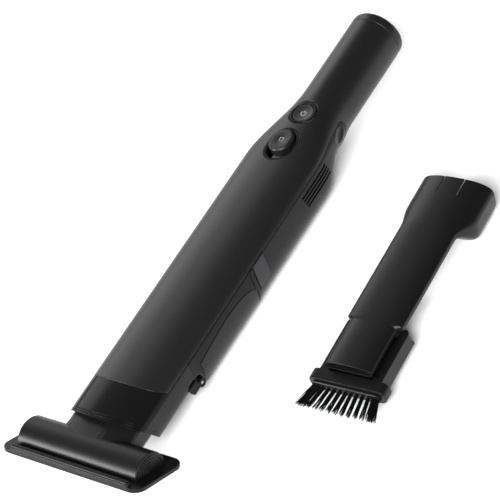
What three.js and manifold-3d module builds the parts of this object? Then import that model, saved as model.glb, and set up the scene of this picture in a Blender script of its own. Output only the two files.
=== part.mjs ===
// A slim cordless hand vacuum with its pet-hair tool on the nose and its duster crevice tool beside it.
// Millimetres, +Z up. The vacuum lies on its belly: X is its width, Y runs from the nose lip to the
// handle's end, and Z is measured here from the handle's axis. The last lines move the whole model so
// that its origin is the middle of the flat belly.
import * as THREE from 'three';
import { mergeVertices } from 'three/addons/utils/BufferGeometryUtils.js';
import Module from 'manifold-3d';

const wasm = await Module();
wasm.setup();

// ---------------------------------------------------------------- driving dimensions

const GAP = 0.3;                    // running or seating gap between two pieces
const CELL_DIAMETER = 18.2;         // one 18650 lithium cell in its sleeve
const CELL_LENGTH = 65;
const HANDLE_WALL = 1.3;

const NOSE_LENGTH = 58.5;           // nose lip to dust cup
const CUP_LENGTH = 88;              // dust cup
const MOTOR_BAY_LENGTH = 94;        // lower shell up to where the body starts to narrow
const FLARE_LENGTH = 68;            // body width to handle width
const HANDLE_LENGTH = 72;           // round part of the handle
const CAP_LENGTH = 9;               // end cap

const BODY_HALF_WIDTH = 31.5;
const BELLY_DEPTH = 33;             // handle axis to belly
const NOSE_DEPTH = 18.5;            // handle axis to the nose's underside
const WAIST_DEPTH = 16.5;           // handle axis to the finger groove under the neck
const SHELL_WALL = 2.2;
const CUP_WALL = 2;
const SEAM_Z = 9.5;                 // lower edge of the top cover
const WIDEST_Z = 7;                 // height of the body's widest line
const COVER_SETBACK = 24;           // nose lip to the top cover's front edge, on the centre line
const COVER_CORNER_SETBACK = 11;    // how much further back the cover's front corners lie

const LIP_SLOPE = 0.5;              // how far the nose's mouth leans back for each mm down
const LIP_TOP_Y = -7;               // front of the mouth at its top
const NECK_HALF_WIDTH = 28.4;       // a tool's neck, which plugs into the mouth
const NECK_HALF_HEIGHT = 15;
const NECK_TOP_Z = 18;
const NECK_DEPTH = 22;              // how far the neck reaches behind the nose lip
const NECK_CLEARANCE = 0.5;         // round the neck, so that it slides in by hand

const MOTOR_RADIUS = 14.5;
const MOTOR_LENGTH = 40;
const FAN_RADIUS = 16.5;
const FAN_LENGTH = 10;
const SHAFT_RADIUS = 1.5;
const SHROUD_WALL = 1.6;
const ROD_HALF_WIDTH = 3;
const ROD_HEIGHT = 2.4;

const HINGE_PIN_RADIUS = 1.2;
const HINGE_EAR_RADIUS = 3.6;
const BADGE_LENGTH = 14.5;          // cup release button, seen as a plate on the side
const BADGE_PROUD = 0.4;
const BUTTON_RADIUS = 8.4;          // power button
const BUTTON_TRAVEL = 0.8;
const SLIDER_TRAVEL = 3.5;
const SLIDER_HALF_WIDTH = 8.6;
const SLIDER_LENGTH = 21.5;
const SCREW_RADIUS = 1.3;
const SCREW_HEAD_RADIUS = 2.7;

const TOOL_HALF_LENGTH = 52.5;      // pet tool: half of its barrel's length, across the vacuum
const BARREL_HALF_DEPTH = 15.4;
const BARREL_HEIGHT = 13.8;
const BARREL_WALL = 2.2;
const TOOL_TILT = THREE.MathUtils.degToRad(-30);
const TOOL_Y = -25.6;               // middle of the barrel's flat side
const TOOL_Z = 5.2;
const SOLE_HALF_WIDTH = 61.5;
const SOLE_FRONT = -24.6;
const SOLE_BACK = 26;
const SOLE_THICKNESS = 3.4;
const SOLE_ROLL_RADIUS = 3.2;       // round front edge of the sole

// The second tool lies beside the vacuum, turned a little. It is drawn about its tip: X across, Y back.
const CREVICE_X = 135.8;
const CREVICE_Y = 97;
const CREVICE_TURN = THREE.MathUtils.degToRad(1.8);
const CREVICE_LENGTH = 172;
const CREVICE_HALF_WIDTH = 21.8;
const CREVICE_TIP_HALF_WIDTH = 18;
const CREVICE_HEIGHT = 9;
const CREVICE_ROOF = 4.2;           // the part of that height above the tube's widest line
const SOCKET_LENGTH = 27.5;         // full-width end that plugs into the nose
const SOCKET_FLARE = 22;
const SOCKET_SLIT = 16;             // length of the slits that let its rim flex
const STEP_LENGTH = 41;             // narrow part at the tip, beside which the carriage's rails show
const CARRIAGE_TRAVEL = 48;
const RAIL_REACH = 6.5;             // how far the rails stand out beside the tube's tip
const RAIL_WIDTH = 7.5;             // so that they start under the tube
const GUIDE_HALF_WIDTH = 3;         // T-shaped guide under the tube
const BRUSH_HALF_WIDTH = 30;
const BRUSH_DEPTH = 9;
const BRUSH_SETBACK = 0.6;           // brush head's back, ahead of the tube's tip
const BRISTLE_LENGTH = 20;
const TUFTS = 11;

// ---------------------------------------------------------------- sizes that follow from them

const CELL_PITCH = CELL_DIAMETER + GAP;
const PACK_RADIUS = CELL_PITCH / Math.sqrt(3) + CELL_DIAMETER / 2;
const HANDLE_RADIUS = PACK_RADIUS + GAP + HANDLE_WALL;

const CUP_Y = NOSE_LENGTH + GAP;                    // front of the dust cup
const CUP_END_Y = CUP_Y + CUP_LENGTH;
const BAY_Y = CUP_END_Y + GAP;                      // front of the lower shell
const FLARE_Y = BAY_Y + MOTOR_BAY_LENGTH;
const HANDLE_Y = FLARE_Y + FLARE_LENGTH;
const CAP_Y = HANDLE_Y + HANDLE_LENGTH;             // front of the end cap
const END_Y = CAP_Y + CAP_LENGTH;

const BELLY_Y = CUP_Y + 14;                         // belly is full depth from here
const BELLY_END_Y = FLARE_Y + 9;                    // and to here
const WAIST_Y = FLARE_Y + 34;                       // deepest point of the finger groove
const WAIST_END_Y = FLARE_Y + 50;
const TONGUE_Y = FLARE_Y + 46;                      // round end of the lower shell on the neck's sides
const TONGUE_Z = -1;
const TONGUE_RADIUS = 8.5;

const COVER_INNER_Z = HANDLE_RADIUS - SHELL_WALL;   // underside of the top cover, on the centre line
const ROD_Z = COVER_INNER_Z - 1.6 - ROD_HEIGHT;     // underside of the release rod
const CUP_TOP_Z = ROD_Z - 2;                        // top of the cup, under the rod
const MOTOR_Z = ROD_Z - 1 - SHROUD_WALL - GAP - FAN_RADIUS - SHROUD_WALL;
const SHROUD_RADIUS = FAN_RADIUS + 1 + SHROUD_WALL;
const BULKHEAD = 2.2;
const SHROUD_Y = BAY_Y + BULKHEAD + GAP;
const FAN_Y = SHROUD_Y + SHROUD_WALL + 1;
const SHROUD_LENGTH = SHROUD_WALL + 1 + FAN_LENGTH + 4;
const MOTOR_Y = SHROUD_Y + SHROUD_LENGTH + 6;
const NECK_ROOF = NECK_TOP_Z - WIDEST_Z;            // a neck above its widest line
const NECK_LOW = 2 * NECK_HALF_HEIGHT - NECK_ROOF;  // and below it
const HINGE_Y = CUP_Y + HINGE_EAR_RADIUS;
const HINGE_Z = GAP + HINGE_PIN_RADIUS - NOSE_DEPTH;
const BUTTON_Y = FLARE_Y + 41.5;
const SLIDER_Y = FLARE_Y + 8.5;                     // middle of the slider's oval well

// ---------------------------------------------------------------- small tools

const lerp = THREE.MathUtils.lerp;
const smooth = (t) => THREE.MathUtils.smoothstep(t, 0, 1);

// A closed three.js geometry as a solid that can be joined and cut.
function solid(geometry) {
  const bare = geometry.clone();
  bare.deleteAttribute('normal');
  bare.deleteAttribute('uv');
  const joined = mergeVertices(bare, 1e-4);
  return new wasm.Manifold(new wasm.Mesh({
    numProp: 3,
    vertProperties: new Float32Array(joined.attributes.position.array),
    triVerts: new Uint32Array(joined.index.array),
  }));
}

// A solid as a named mesh of the model.
function piece(name, shape, color, roughness = 0.5, metalness = 0) {
  const { vertProperties, triVerts } = shape.getMesh();
  const geometry = new THREE.BufferGeometry();
  geometry.setAttribute('position', new THREE.BufferAttribute(new Float32Array(vertProperties), 3));
  geometry.setIndex(new THREE.BufferAttribute(new Uint32Array(triVerts), 1));
  geometry.computeVertexNormals();
  const mesh = new THREE.Mesh(geometry, new THREE.MeshStandardMaterial({ color, roughness, metalness }));
  mesh.name = name;
  return mesh;
}

function box(x0, x1, y0, y1, z0, z1) {
  const geometry = new THREE.BoxGeometry(x1 - x0, y1 - y0, z1 - z0);
  return solid(geometry.translate((x0 + x1) / 2, (y0 + y1) / 2, (z0 + z1) / 2));
}

// A cylinder along 'x', 'y' or 'z', from one end to the other.
function rod(axis, from, to, a, b, radius, sides = 16) {
  const geometry = new THREE.CylinderGeometry(radius, radius, to - from, sides);
  const middle = (from + to) / 2;
  if (axis === 'x') geometry.rotateZ(-Math.PI / 2).translate(middle, a, b);
  if (axis === 'y') geometry.translate(a, middle, b);
  if (axis === 'z') geometry.rotateX(Math.PI / 2).translate(a, b, middle);
  return solid(geometry);
}

// A rod along X whose ends may be given in either order.
const crossRod = (a, b, y, z, radius, sides = 12) => rod('x', Math.min(a, b), Math.max(a, b), y, z,
  radius, sides);
const crossBox = (a, b, y0, y1, z0, z1) => box(Math.min(a, b), Math.max(a, b), y0, y1, z0, z1);

// A turned piece whose axis runs along Y at height z: profile points are [radius, y].
function turned(profile, z, sides = 32) {
  const points = profile.map(([radius, y]) => new THREE.Vector2(radius, y));
  return solid(new THREE.LatheGeometry(points, sides).translate(0, 0, z));
}

// An outline of [y, z] points pushed through the whole width, or [x, y] points through the height.
function sidePlate(points, x0, x1) {
  const shape = new THREE.Shape(points.map(([y, z]) => new THREE.Vector2(y, z)));
  const geometry = new THREE.ExtrudeGeometry(shape, { depth: x1 - x0, bevelEnabled: false });
  geometry.applyMatrix4(new THREE.Matrix4().makeBasis(
    new THREE.Vector3(0, 1, 0), new THREE.Vector3(0, 0, 1), new THREE.Vector3(1, 0, 0)));
  return solid(geometry.translate(x0, 0, 0));
}

function planPlate(points, z0, z1) {
  const shape = new THREE.Shape(points.map(([x, y]) => new THREE.Vector2(x, y)));
  const geometry = new THREE.ExtrudeGeometry(shape, { depth: z1 - z0, bevelEnabled: false });
  return solid(geometry.translate(0, 0, z0));
}

// Points on an arc about (a, b), in degrees.
function arc(a, b, radius, from, to, steps = 8) {
  return Array.from({ length: steps + 1 }, (_, i) => {
    const angle = THREE.MathUtils.degToRad(lerp(from, to, i / steps));
    return [a + radius * Math.cos(angle), b + radius * Math.sin(angle)];
  });
}

// A rectangle with round corners, as points about (a, b).
function roundedRectangle(a, b, halfA, halfB, corner, steps = 4) {
  const r = Math.min(corner, halfA, halfB);
  return [
    ...arc(a + halfA - r, b + halfB - r, r, 0, 90, steps),
    ...arc(a - halfA + r, b + halfB - r, r, 90, 180, steps),
    ...arc(a - halfA + r, b - halfB + r, r, 180, 270, steps),
    ...arc(a + halfA - r, b - halfB + r, r, 270, 360, steps),
  ];
}

// A solid skinned over rings of [x, y, z] points, one ring after the other along +Y. Every ring has
// the same number of points and turns from +X towards +Z.
function loft(rings) {
  const count = rings[0].length;
  const positions = rings.flat(2);
  const index = [];
  for (let ring = 0; ring < rings.length - 1; ring++) {
    for (let i = 0; i < count; i++) {
      const a = ring * count + i;
      const b = ring * count + (i + 1) % count;
      index.push(a, a + count, b, b, a + count, b + count);
    }
  }
  for (const [ring, flip] of [[0, false], [rings.length - 1, true]]) {
    const centre = positions.length / 3;
    const sum = rings[ring].reduce((total, p) => total.map((v, k) => v + p[k] / count), [0, 0, 0]);
    positions.push(...sum);
    for (let i = 0; i < count; i++) {
      const a = ring * count + i;
      const b = ring * count + (i + 1) % count;
      index.push(...(flip ? [centre, b, a] : [centre, a, b]));
    }
  }
  const geometry = new THREE.BufferGeometry();
  geometry.setAttribute('position', new THREE.Float32BufferAttribute(positions, 3));
  geometry.setIndex(index);
  return solid(geometry);
}

// A straight duct along Y with a rounded rectangular section.
function duct(y0, y1, x, z, halfWidth, halfHeight, corner) {
  const section = roundedRectangle(x, z, halfWidth, halfHeight, corner);
  return loft([y0, y1].map((y) => section.map(([px, pz]) => [px, y, pz])));
}

// ---------------------------------------------------------------- the body's form

const RING_POINTS = 32;
const BELLY_CROWN = 0.6;            // how much of the rounded underside the flat belly cuts off

// How deep the underside lies below the handle's axis.
function bellyDepth(y) {
  if (y < BELLY_Y) return lerp(NOSE_DEPTH, BELLY_DEPTH, smooth((y - CUP_Y - 3) / (BELLY_Y - CUP_Y - 3)));
  if (y < WAIST_Y) return lerp(BELLY_DEPTH, WAIST_DEPTH,
    smooth((y - BELLY_END_Y) / (WAIST_Y - BELLY_END_Y)));
  return lerp(WAIST_DEPTH, HANDLE_RADIUS, smooth((y - WAIST_Y) / (WAIST_END_Y - WAIST_Y)));
}

const ROOF_POWER = 2.4;             // 2 is an ellipse, and higher is squarer
const LOW_POWER = 6;
const DRAW_IN = 0.1;                // how much narrower the section is at its bottom

// An arched section as [x, z] points, with its heights above and below its widest line.
function archSection(halfWidth, middle, roof, low, roofPower, lowPower, drawIn) {
  return Array.from({ length: RING_POINTS }, (_, i) => {
    const angle = 2 * Math.PI * i / RING_POINTS;
    const cos = Math.cos(angle);
    const sin = Math.sin(angle);
    const power = 2 / (sin > 0 ? roofPower : lowPower);
    const rise = (sin > 0 ? roof : low) * Math.sign(sin) * Math.abs(sin) ** power;
    const narrow = rise < 0 ? 1 + drawIn * rise / low : 1;
    return [halfWidth * narrow * Math.sign(cos) * Math.abs(cos) ** power, middle + rise];
  });
}

// The neck of a tool, which follows the nose's arch. inset makes it smaller all round.
function neckForm(from, to, inset) {
  const section = archSection(NECK_HALF_WIDTH - inset, WIDEST_Z, NECK_ROOF - inset, NECK_LOW - inset,
    ROOF_POWER, LOW_POWER, DRAW_IN);
  return loft([from, to].map((y) => section.map(([x, z]) => [x, y, z])));
}

// One cross-section of the body: an arched top, sides that draw in downwards and a flat belly, which
// turn into the handle's circle along the flare.
function bodyRing(y, inset) {
  const flare = smooth((y - FLARE_Y) / FLARE_LENGTH);
  const halfWidth = lerp(BODY_HALF_WIDTH, HANDLE_RADIUS, flare) - inset;
  const middle = lerp(WIDEST_Z, 0, flare);
  const lowPower = lerp(LOW_POWER, 4.2, smooth((y - CUP_Y) / (BELLY_Y - CUP_Y)));
  const roof = HANDLE_RADIUS - inset - middle;
  const belly = inset - bellyDepth(y);
  const section = archSection(halfWidth, middle, roof, middle - belly + BELLY_CROWN,
    lerp(ROOF_POWER, 2, flare), lerp(lowPower, 2, flare), lerp(DRAW_IN, 0, flare));
  return section.map(([x, z]) => [x, y, Math.max(z, belly)]);
}

const shellWall = (y) => lerp(SHELL_WALL, HANDLE_WALL, smooth((y - FLARE_Y) / FLARE_LENGTH));

// The body's form between two stations. inset is a number, or a function of y.
function bodyForm(from, to, inset) {
  const wall = typeof inset === 'function' ? inset : () => inset;
  const stations = [from, to];
  const cupSteps = 4;
  for (let i = 0; i <= cupSteps; i++) stations.push(lerp(CUP_Y + 3, BELLY_Y, i / cupSteps));
  const neckSteps = 8;
  for (let i = 0; i <= neckSteps; i++) stations.push(lerp(FLARE_Y, HANDLE_Y, i / neckSteps));
  const inside = [...new Set(stations)].filter((y) => y >= from && y <= to).sort((a, b) => a - b);
  return loft(inside.map((y) => bodyRing(y, wall(y))));
}

const FAR = 400;                    // beyond every piece

// Everything above the seam, from the cover's arched front edge back, and all of the handle behind
// the lower shell's round tongues. grow moves the boundary outwards.
function coverRegion(grow) {
  const seam = SEAM_Z - grow;
  const front = COVER_SETBACK - grow;
  const side = [
    [front - 20, FAR], [front - 20, seam],
    [FLARE_Y + 26, seam], [TONGUE_Y - 7, TONGUE_Z + TONGUE_RADIUS + 0.6 - grow],
    ...arc(TONGUE_Y, TONGUE_Z, TONGUE_RADIUS - grow, 90, -90, 12),
    [TONGUE_Y - grow, -FAR], [END_Y + 20, -FAR], [END_Y + 20, FAR],
  ];
  const plan = [
    [FAR, END_Y + 20], [-FAR, END_Y + 20], [-FAR, front + COVER_CORNER_SETBACK + 4],
  ];
  const steps = 24;
  for (let i = 0; i <= steps; i++) {
    const t = 2 * i / steps - 1;
    const arch = 3 * t * t + (COVER_CORNER_SETBACK - 3) * Math.abs(t) ** 9;
    plan.push([t * (BODY_HALF_WIDTH + 1), front + arch]);
  }
  plan.push([FAR, front + COVER_CORNER_SETBACK + 4]);
  return sidePlate(side, -FAR, FAR).intersect(planPlate(plan, -FAR, FAR));
}

const belowSeam = (from, to) => box(-FAR, FAR, from, to, -FAR, SEAM_Z - GAP);

// ---------------------------------------------------------------- top cover and handle

// A D-ended oval along Y, as plan points.
function oval(halfWidth, halfLength, y) {
  return roundedRectangle(0, y, halfWidth, halfLength, halfWidth, 6);
}

const SCREW_FRONT_Y = BAY_Y + 24;
const SCREW_BACK_Y = FLARE_Y + 17;
const SCREW_PLACES = [
  { y: SCREW_FRONT_Y, x: BODY_HALF_WIDTH - 6.4 },
  { y: SCREW_BACK_Y, x: BODY_HALF_WIDTH - 9.4 },
].flatMap(({ x, y }) => [{ x, y }, { x: -x, y }]);
const BOSS_RADIUS = 3.4;
const WELL_HALF_WIDTH = SLIDER_HALF_WIDTH + GAP;
const WELL_HALF_LENGTH = (SLIDER_LENGTH + SLIDER_TRAVEL) / 2 + 2 * GAP;
const BEZEL_RIM = 2.6;
const BUTTON_RING = 1.9;            // radial width of the ring round the power button
const BUTTON_FLOOR_Z = HANDLE_RADIUS - 1.3;
const BOARD_Z = 9;
const BOARD_THICKNESS = 1.6;
const BOARD_HALF_WIDTH = 12;
const BOARD_HALF_LENGTH = 18;
const POST_RADIUS = 1.6;            // posts between the cover and the board
const POST_SETBACK = 2;             // post's axis from the board's edges

function upperShell() {
  let shell = bodyForm(COVER_SETBACK - 10, CAP_Y - GAP, 0)
    .subtract(bodyForm(COVER_SETBACK - 11, CAP_Y + 5, shellWall))
    .intersect(coverRegion(0));
  // posts that hold the control board, and bosses for the case screws
  for (const x of [-1, 1]) {
    for (const y of [-1, 1]) {
      const postY = BUTTON_Y + y * (BOARD_HALF_LENGTH - POST_SETBACK);
      const post = rod('z', BOARD_Z + BOARD_THICKNESS + GAP, HANDLE_RADIUS,
        x * (BOARD_HALF_WIDTH - POST_SETBACK), postY, POST_RADIUS, 10);
      shell = shell.add(post.intersect(bodyForm(postY - 3, postY + 3, 0.6)));
    }
  }
  for (const { x, y } of SCREW_PLACES) {
    const boss = rod('z', SEAM_Z, HANDLE_RADIUS, x, y, BOSS_RADIUS, 12)
      .intersect(bodyForm(y - 6, y + 6, 1));
    const hole = rod('z', SEAM_Z - 1, SEAM_Z + 7, x, y, SCREW_RADIUS + GAP, 8);
    shell = shell.add(boss).subtract(hole);
  }
  // shallow round dish and hole for the power button, and the slider's well
  const dish = rod('z', BUTTON_FLOOR_Z, HANDLE_RADIUS + 5, 0, BUTTON_Y,
    BUTTON_RADIUS + BUTTON_RING + 1.6, 32);
  const hole = rod('z', BOARD_Z, HANDLE_RADIUS + 5, 0, BUTTON_Y, BUTTON_RADIUS + BUTTON_RING + 2 * GAP, 32);
  const well = planPlate(oval(WELL_HALF_WIDTH + BEZEL_RIM + GAP, WELL_HALF_LENGTH + BEZEL_RIM + GAP,
    SLIDER_Y),
    COVER_INNER_Z - 5, HANDLE_RADIUS + 5);
  return piece('upper_shell', shell.subtract(dish).subtract(hole).subtract(well), 0x2b2b2c, 0.45);
}

const CAP_SPIGOT = 3;               // how far the cap's collar reaches into the handle
const JACK_RADIUS = 4;

function endCap() {
  const round = 4;
  const spigot = HANDLE_RADIUS - HANDLE_WALL - GAP;
  const profile = [
    [0, CAP_Y - CAP_SPIGOT], [spigot, CAP_Y - CAP_SPIGOT], [spigot, CAP_Y], [HANDLE_RADIUS, CAP_Y],
    ...arc(HANDLE_RADIUS - round, END_Y - round, round, 0, 90, 4), [0, END_Y],
  ];
  const bore = rod('y', CAP_Y - 10, END_Y + 5, 0, 0, JACK_RADIUS + GAP, 20);
  return piece('end_cap', turned(profile, 0, 32).subtract(bore), 0x262627, 0.5);
}

// ---------------------------------------------------------------- lower shell, badges and screws

const VENT_SLOTS = 4;
const VENT_PITCH = 3.8;
const VENT_LEAN = 1.1;              // each lower slot lies this much further back
const VENT_TOP_Z = 3.4;             // middle of the highest slot
const VENT_WIDTH = 2.2;
const VENT_LENGTH = 36;
const VENT_Y = FLARE_Y - 6;
const DISH_RADIUS = 20;             // thumb dish in the round tongue
const DISH_DEPTH = 1.2;
const BADGE_TOP_Z = SEAM_Z - 2 * GAP;
const BADGE_BOTTOM_Z = -15;

function lowerShell() {
  const inner = bodyForm(BAY_Y - 1, TONGUE_Y + 20, shellWall);
  let shell = bodyForm(BAY_Y, TONGUE_Y + 15, 0).subtract(inner);
  const bulkhead = bodyForm(BAY_Y, BAY_Y + BULKHEAD, SHELL_WALL - 0.1)
    .subtract(rod('y', BAY_Y - 1, BAY_Y + BULKHEAD + 1, 0, MOTOR_Z, FAN_RADIUS - 2, 24));
  shell = shell.add(bulkhead);
  for (const { x, y } of SCREW_PLACES) {
    const boss = rod('z', -BELLY_DEPTH, SEAM_Z, x, y, BOSS_RADIUS + 1.2, 12)
      .intersect(bodyForm(y - 7, y + 7, 1));
    shell = shell.add(boss);
  }
  shell = shell.subtract(coverRegion(GAP)).intersect(box(-FAR, FAR, BAY_Y, FAR, -FAR, SEAM_Z));
  for (const { x, y } of SCREW_PLACES) {
    const head = rod('z', -BELLY_DEPTH - 5, SCREW_HEAD_Z + GAP, x, y, SCREW_HEAD_RADIUS + GAP, 12);
    const hole = rod('z', -BELLY_DEPTH, SEAM_Z + 1, x, y, SCREW_RADIUS + GAP, 8);
    shell = shell.subtract(head).subtract(hole);
  }
  for (const side of [-1, 1]) {
    const x0 = side > 0 ? 12 : -BODY_HALF_WIDTH - 5;
    const x1 = side > 0 ? BODY_HALF_WIDTH + 5 : -12;
    // exhaust slots: each lower one starts and ends a little further back
    for (let i = 0; i < VENT_SLOTS; i++) {
      const z = VENT_TOP_Z - i * VENT_PITCH;
      const y = VENT_Y + i * VENT_LEAN;
      shell = shell.subtract(box(x0, x1, y - VENT_LENGTH / 2, y + VENT_LENGTH / 2, z - VENT_WIDTH / 2,
        z + VENT_WIDTH / 2));
    }
    const window = box(x0, x1, BAY_Y - 1, BAY_Y + BADGE_LENGTH + 2 * GAP, BADGE_BOTTOM_Z - GAP, SEAM_Z + 1);
    shell = shell.subtract(window.subtract(box(x0, x1, BAY_Y - 1, BAY_Y + BULKHEAD, -FAR, FAR)
      .intersect(bodyForm(BAY_Y - 2, BAY_Y + 4, 4))));
    // shallow dish in the round tongue
    const halfWidth = lerp(BODY_HALF_WIDTH, HANDLE_RADIUS, smooth((TONGUE_Y - FLARE_Y) / FLARE_LENGTH));
    const ball = new THREE.SphereGeometry(DISH_RADIUS, 24, 16);
    ball.translate(side * (halfWidth + DISH_RADIUS - DISH_DEPTH), TONGUE_Y, TONGUE_Z);
    shell = shell.subtract(solid(ball));
  }
  return piece('lower_shell', shell, 0x1d1d1e, 0.35);
}

// The plate on each side that frees the dust cup when it is pressed.
function cupButton(name, side) {
  const y0 = BAY_Y + GAP;
  const reach = side > 0 ? [12, BODY_HALF_WIDTH + 5] : [-BODY_HALF_WIDTH - 5, -12];
  const plate = bodyForm(y0, y0 + BADGE_LENGTH - GAP, -BADGE_PROUD)
    .subtract(bodyForm(y0 - 1, y0 + BADGE_LENGTH + 1, 1.8))
    .intersect(box(...reach, y0, y0 + BADGE_LENGTH, BADGE_BOTTOM_Z, BADGE_TOP_Z));
  const face = BODY_HALF_WIDTH - 2.6;
  const stem = crossRod(side * (face - 5.5), side * (face + 1), y0 + BADGE_LENGTH / 2, 0, 2);
  return piece(name, plate.add(stem), 0x8d8f92, 0.35, 0.6);
}

const SCREW_HEAD_Z = -6;
const SCREW_HEAD_HEIGHT = 2.2;

function caseScrew(name, { x, y }) {
  const head = rod('z', SCREW_HEAD_Z - SCREW_HEAD_HEIGHT, SCREW_HEAD_Z, x, y, SCREW_HEAD_RADIUS, 12);
  const shank = rod('z', SCREW_HEAD_Z - 0.5, SEAM_Z + 6, x, y, SCREW_RADIUS, 8);
  const recess = box(x - 1.4, x + 1.4, y - 0.4, y + 0.4, SCREW_HEAD_Z - 4, SCREW_HEAD_Z - 1.2);
  return piece(name, head.add(shank).subtract(recess), 0x9a9a9c, 0.3, 1);
}

// ---------------------------------------------------------------- dust cup and its filter

const COVERED_INSET = SHELL_WALL + GAP;     // form of what lies under the top cover

// The part of the form that a piece may fill when the top cover lies over it.
function underCover(from, to) {
  const covered = bodyForm(from, to, COVERED_INSET).intersect(box(-FAR, FAR, from, to, -FAR, CUP_TOP_Z));
  return bodyForm(from, to, 0).intersect(belowSeam(from, to)).add(covered);
}

const EAR_INNER_X = BODY_HALF_WIDTH - 4.3;    // inner side of the recess for the door's hinge ears
const EAR_OUTER_X = BODY_HALF_WIDTH - 1.1;
const LUG_INNER_X = BODY_HALF_WIDTH - 12;     // lug inside the cup that takes the hinge pin
const PIN_INNER_X = BODY_HALF_WIDTH - 10.5;
const SEAL_WIDTH = 3.2;
const SEAL_DEPTH = 2.4;
const DUCT_HALF_WIDTH = 25.8;
const DUCT_TOP_Z = CUP_TOP_Z - 3;
const DUCT_BOTTOM_Z = 3 - NOSE_DEPTH;
const DUCT_Z = (DUCT_TOP_Z + DUCT_BOTTOM_Z) / 2;
const DUCT_HALF_HEIGHT = (DUCT_TOP_Z - DUCT_BOTTOM_Z) / 2;
const DUCT_CORNER = 6;
const FILTER_PLATE = 3;
const FILTER_RADIUS = 14.5;
const FILTER_Z = CUP_TOP_Z - CUP_WALL - 1 - FILTER_RADIUS - 4;
const FILTER_LENGTH = 42;
const FILTER_Y = CUP_END_Y - FILTER_PLATE - 1;

function dustCup() {
  const from = CUP_Y;
  const cavity = bodyForm(from + 6, CUP_END_Y + 1, CUP_WALL).intersect(belowSeam(from + 6, CUP_END_Y + 1))
    .subtract(box(-FAR, FAR, from, FAR, SEAM_Z - GAP - CUP_WALL, FAR))
    .add(bodyForm(from + 6, CUP_END_Y + 1, COVERED_INSET + CUP_WALL)
      .intersect(box(-FAR, FAR, from, FAR, -FAR, CUP_TOP_Z - CUP_WALL)));
  const mouth = duct(from - 1, from + 8, 0, DUCT_Z, DUCT_HALF_WIDTH, DUCT_HALF_HEIGHT, DUCT_CORNER);
  const groove = duct(from - 1, from + SEAL_DEPTH, 0, DUCT_Z, DUCT_HALF_WIDTH + SEAL_WIDTH,
    DUCT_HALF_HEIGHT + 2.2,
    DUCT_CORNER + 2);
  let cup = underCover(from, CUP_END_Y);
  const lugs = [-1, 1].map((side) => crossBox(side * LUG_INNER_X, side * EAR_INNER_X,
    from, HINGE_Y + 7, HINGE_Z - 9, HINGE_Z + 6));
  cup = cup.subtract(cavity.subtract(lugs[0]).subtract(lugs[1])).subtract(mouth).subtract(groove);
  for (const side of [-1, 1]) {
    const clear = HINGE_EAR_RADIUS + 2 * GAP;
    const inner = side * EAR_INNER_X;
    const outer = side * FAR;
    cup = cup.subtract(crossBox(inner, outer, from - 1, HINGE_Y, -FAR, HINGE_Z + clear))
      .subtract(crossRod(inner, outer, HINGE_Y, HINGE_Z, clear, 24))
      .subtract(crossBox(inner, outer, HINGE_Y - 1, HINGE_Y + clear, -FAR, HINGE_Z))
      .subtract(crossRod(side * (PIN_INNER_X - GAP), outer, HINGE_Y, HINGE_Z, HINGE_PIN_RADIUS + GAP));
  }
  return piece('dust_cup', cup, 0x2a2c2f, 0.15);
}

function doorSeal() {
  const y1 = CUP_Y + SEAL_DEPTH - GAP;
  const outer = duct(CUP_Y, y1, 0, DUCT_Z, DUCT_HALF_WIDTH + SEAL_WIDTH - GAP,
    DUCT_HALF_HEIGHT + 2.2 - GAP, DUCT_CORNER + 2);
  const inner = duct(CUP_Y - 1, y1 + 1, 0, DUCT_Z, DUCT_HALF_WIDTH + 0.4, DUCT_HALF_HEIGHT + 0.4,
    DUCT_CORNER);
  return piece('door_seal', outer.subtract(inner), 0x3a3a3c, 0.9);
}

// Plate that closes the cup's rear, with a spigot for the fine filter and a rim for the mesh screen.
function filterFrame() {
  const plate = bodyForm(FILTER_Y, FILTER_Y + FILTER_PLATE, CUP_WALL + GAP)
    .intersect(box(-FAR, FAR, FILTER_Y, FAR, -FAR, SEAM_Z - 3 * GAP - CUP_WALL));
  const rim = turned([[FILTER_RADIUS + 1.6, FILTER_Y - 6], [FILTER_RADIUS + 4, FILTER_Y - 6],
    [FILTER_RADIUS + 4, FILTER_Y + 1], [FILTER_RADIUS + 1.6, FILTER_Y + 1], [FILTER_RADIUS + 1.6,
      FILTER_Y - 6]], FILTER_Z);
  const airway = rod('y', FILTER_Y - 10, FILTER_Y + FILTER_PLATE + 1, 0, FILTER_Z, FILTER_RADIUS - 4, 24);
  return piece('filter_frame', plate.add(rim).subtract(airway), 0x47494c, 0.5);
}

function meshScreen() {
  const outer = FILTER_RADIUS + 1.6 - GAP;
  const tip = outer - 3;
  const y0 = FILTER_Y - FILTER_LENGTH;
  const y1 = FILTER_Y - GAP;
  const profile = [[0, y0], [tip, y0], [outer, y0 + 6], [outer, y1], [outer - 0.8, y1],
    [outer - 0.8, y0 + 6.4], [tip - 0.6, y0 + 0.8], [0, y0 + 0.8]];
  return piece('mesh_screen', turned(profile, FILTER_Z), 0x9b9da0, 0.4, 0.8);
}

function pleatedFilter() {
  const pleats = 24;
  const outer = FILTER_RADIUS - 0.4;
  const outline = Array.from({ length: pleats * 2 }, (_, i) => {
    const angle = Math.PI * i / pleats;
    const radius = i % 2 ? outer : outer - 3;
    return [radius * Math.cos(angle), FILTER_Z + radius * Math.sin(angle)];
  });
  const y0 = FILTER_Y - FILTER_LENGTH + 8;
  const y1 = FILTER_Y - GAP;
  const star = loft([y0, y1].map((y) => outline.map(([x, z]) => [x, y, z])));
  const bore = rod('y', y0 + 3, y1 + 1, 0, FILTER_Z, FILTER_RADIUS - 6.5, 16);
  return piece('pleated_filter', star.subtract(bore), 0xd9d9d4, 0.95);
}

// ---------------------------------------------------------------- nose, flap and hinge

const FLAP_Y = NOSE_LENGTH - 7;
const FLAP_THICKNESS = 1.4;
const FLAP_PIVOT_Z = DUCT_TOP_Z - 1.9;

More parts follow.
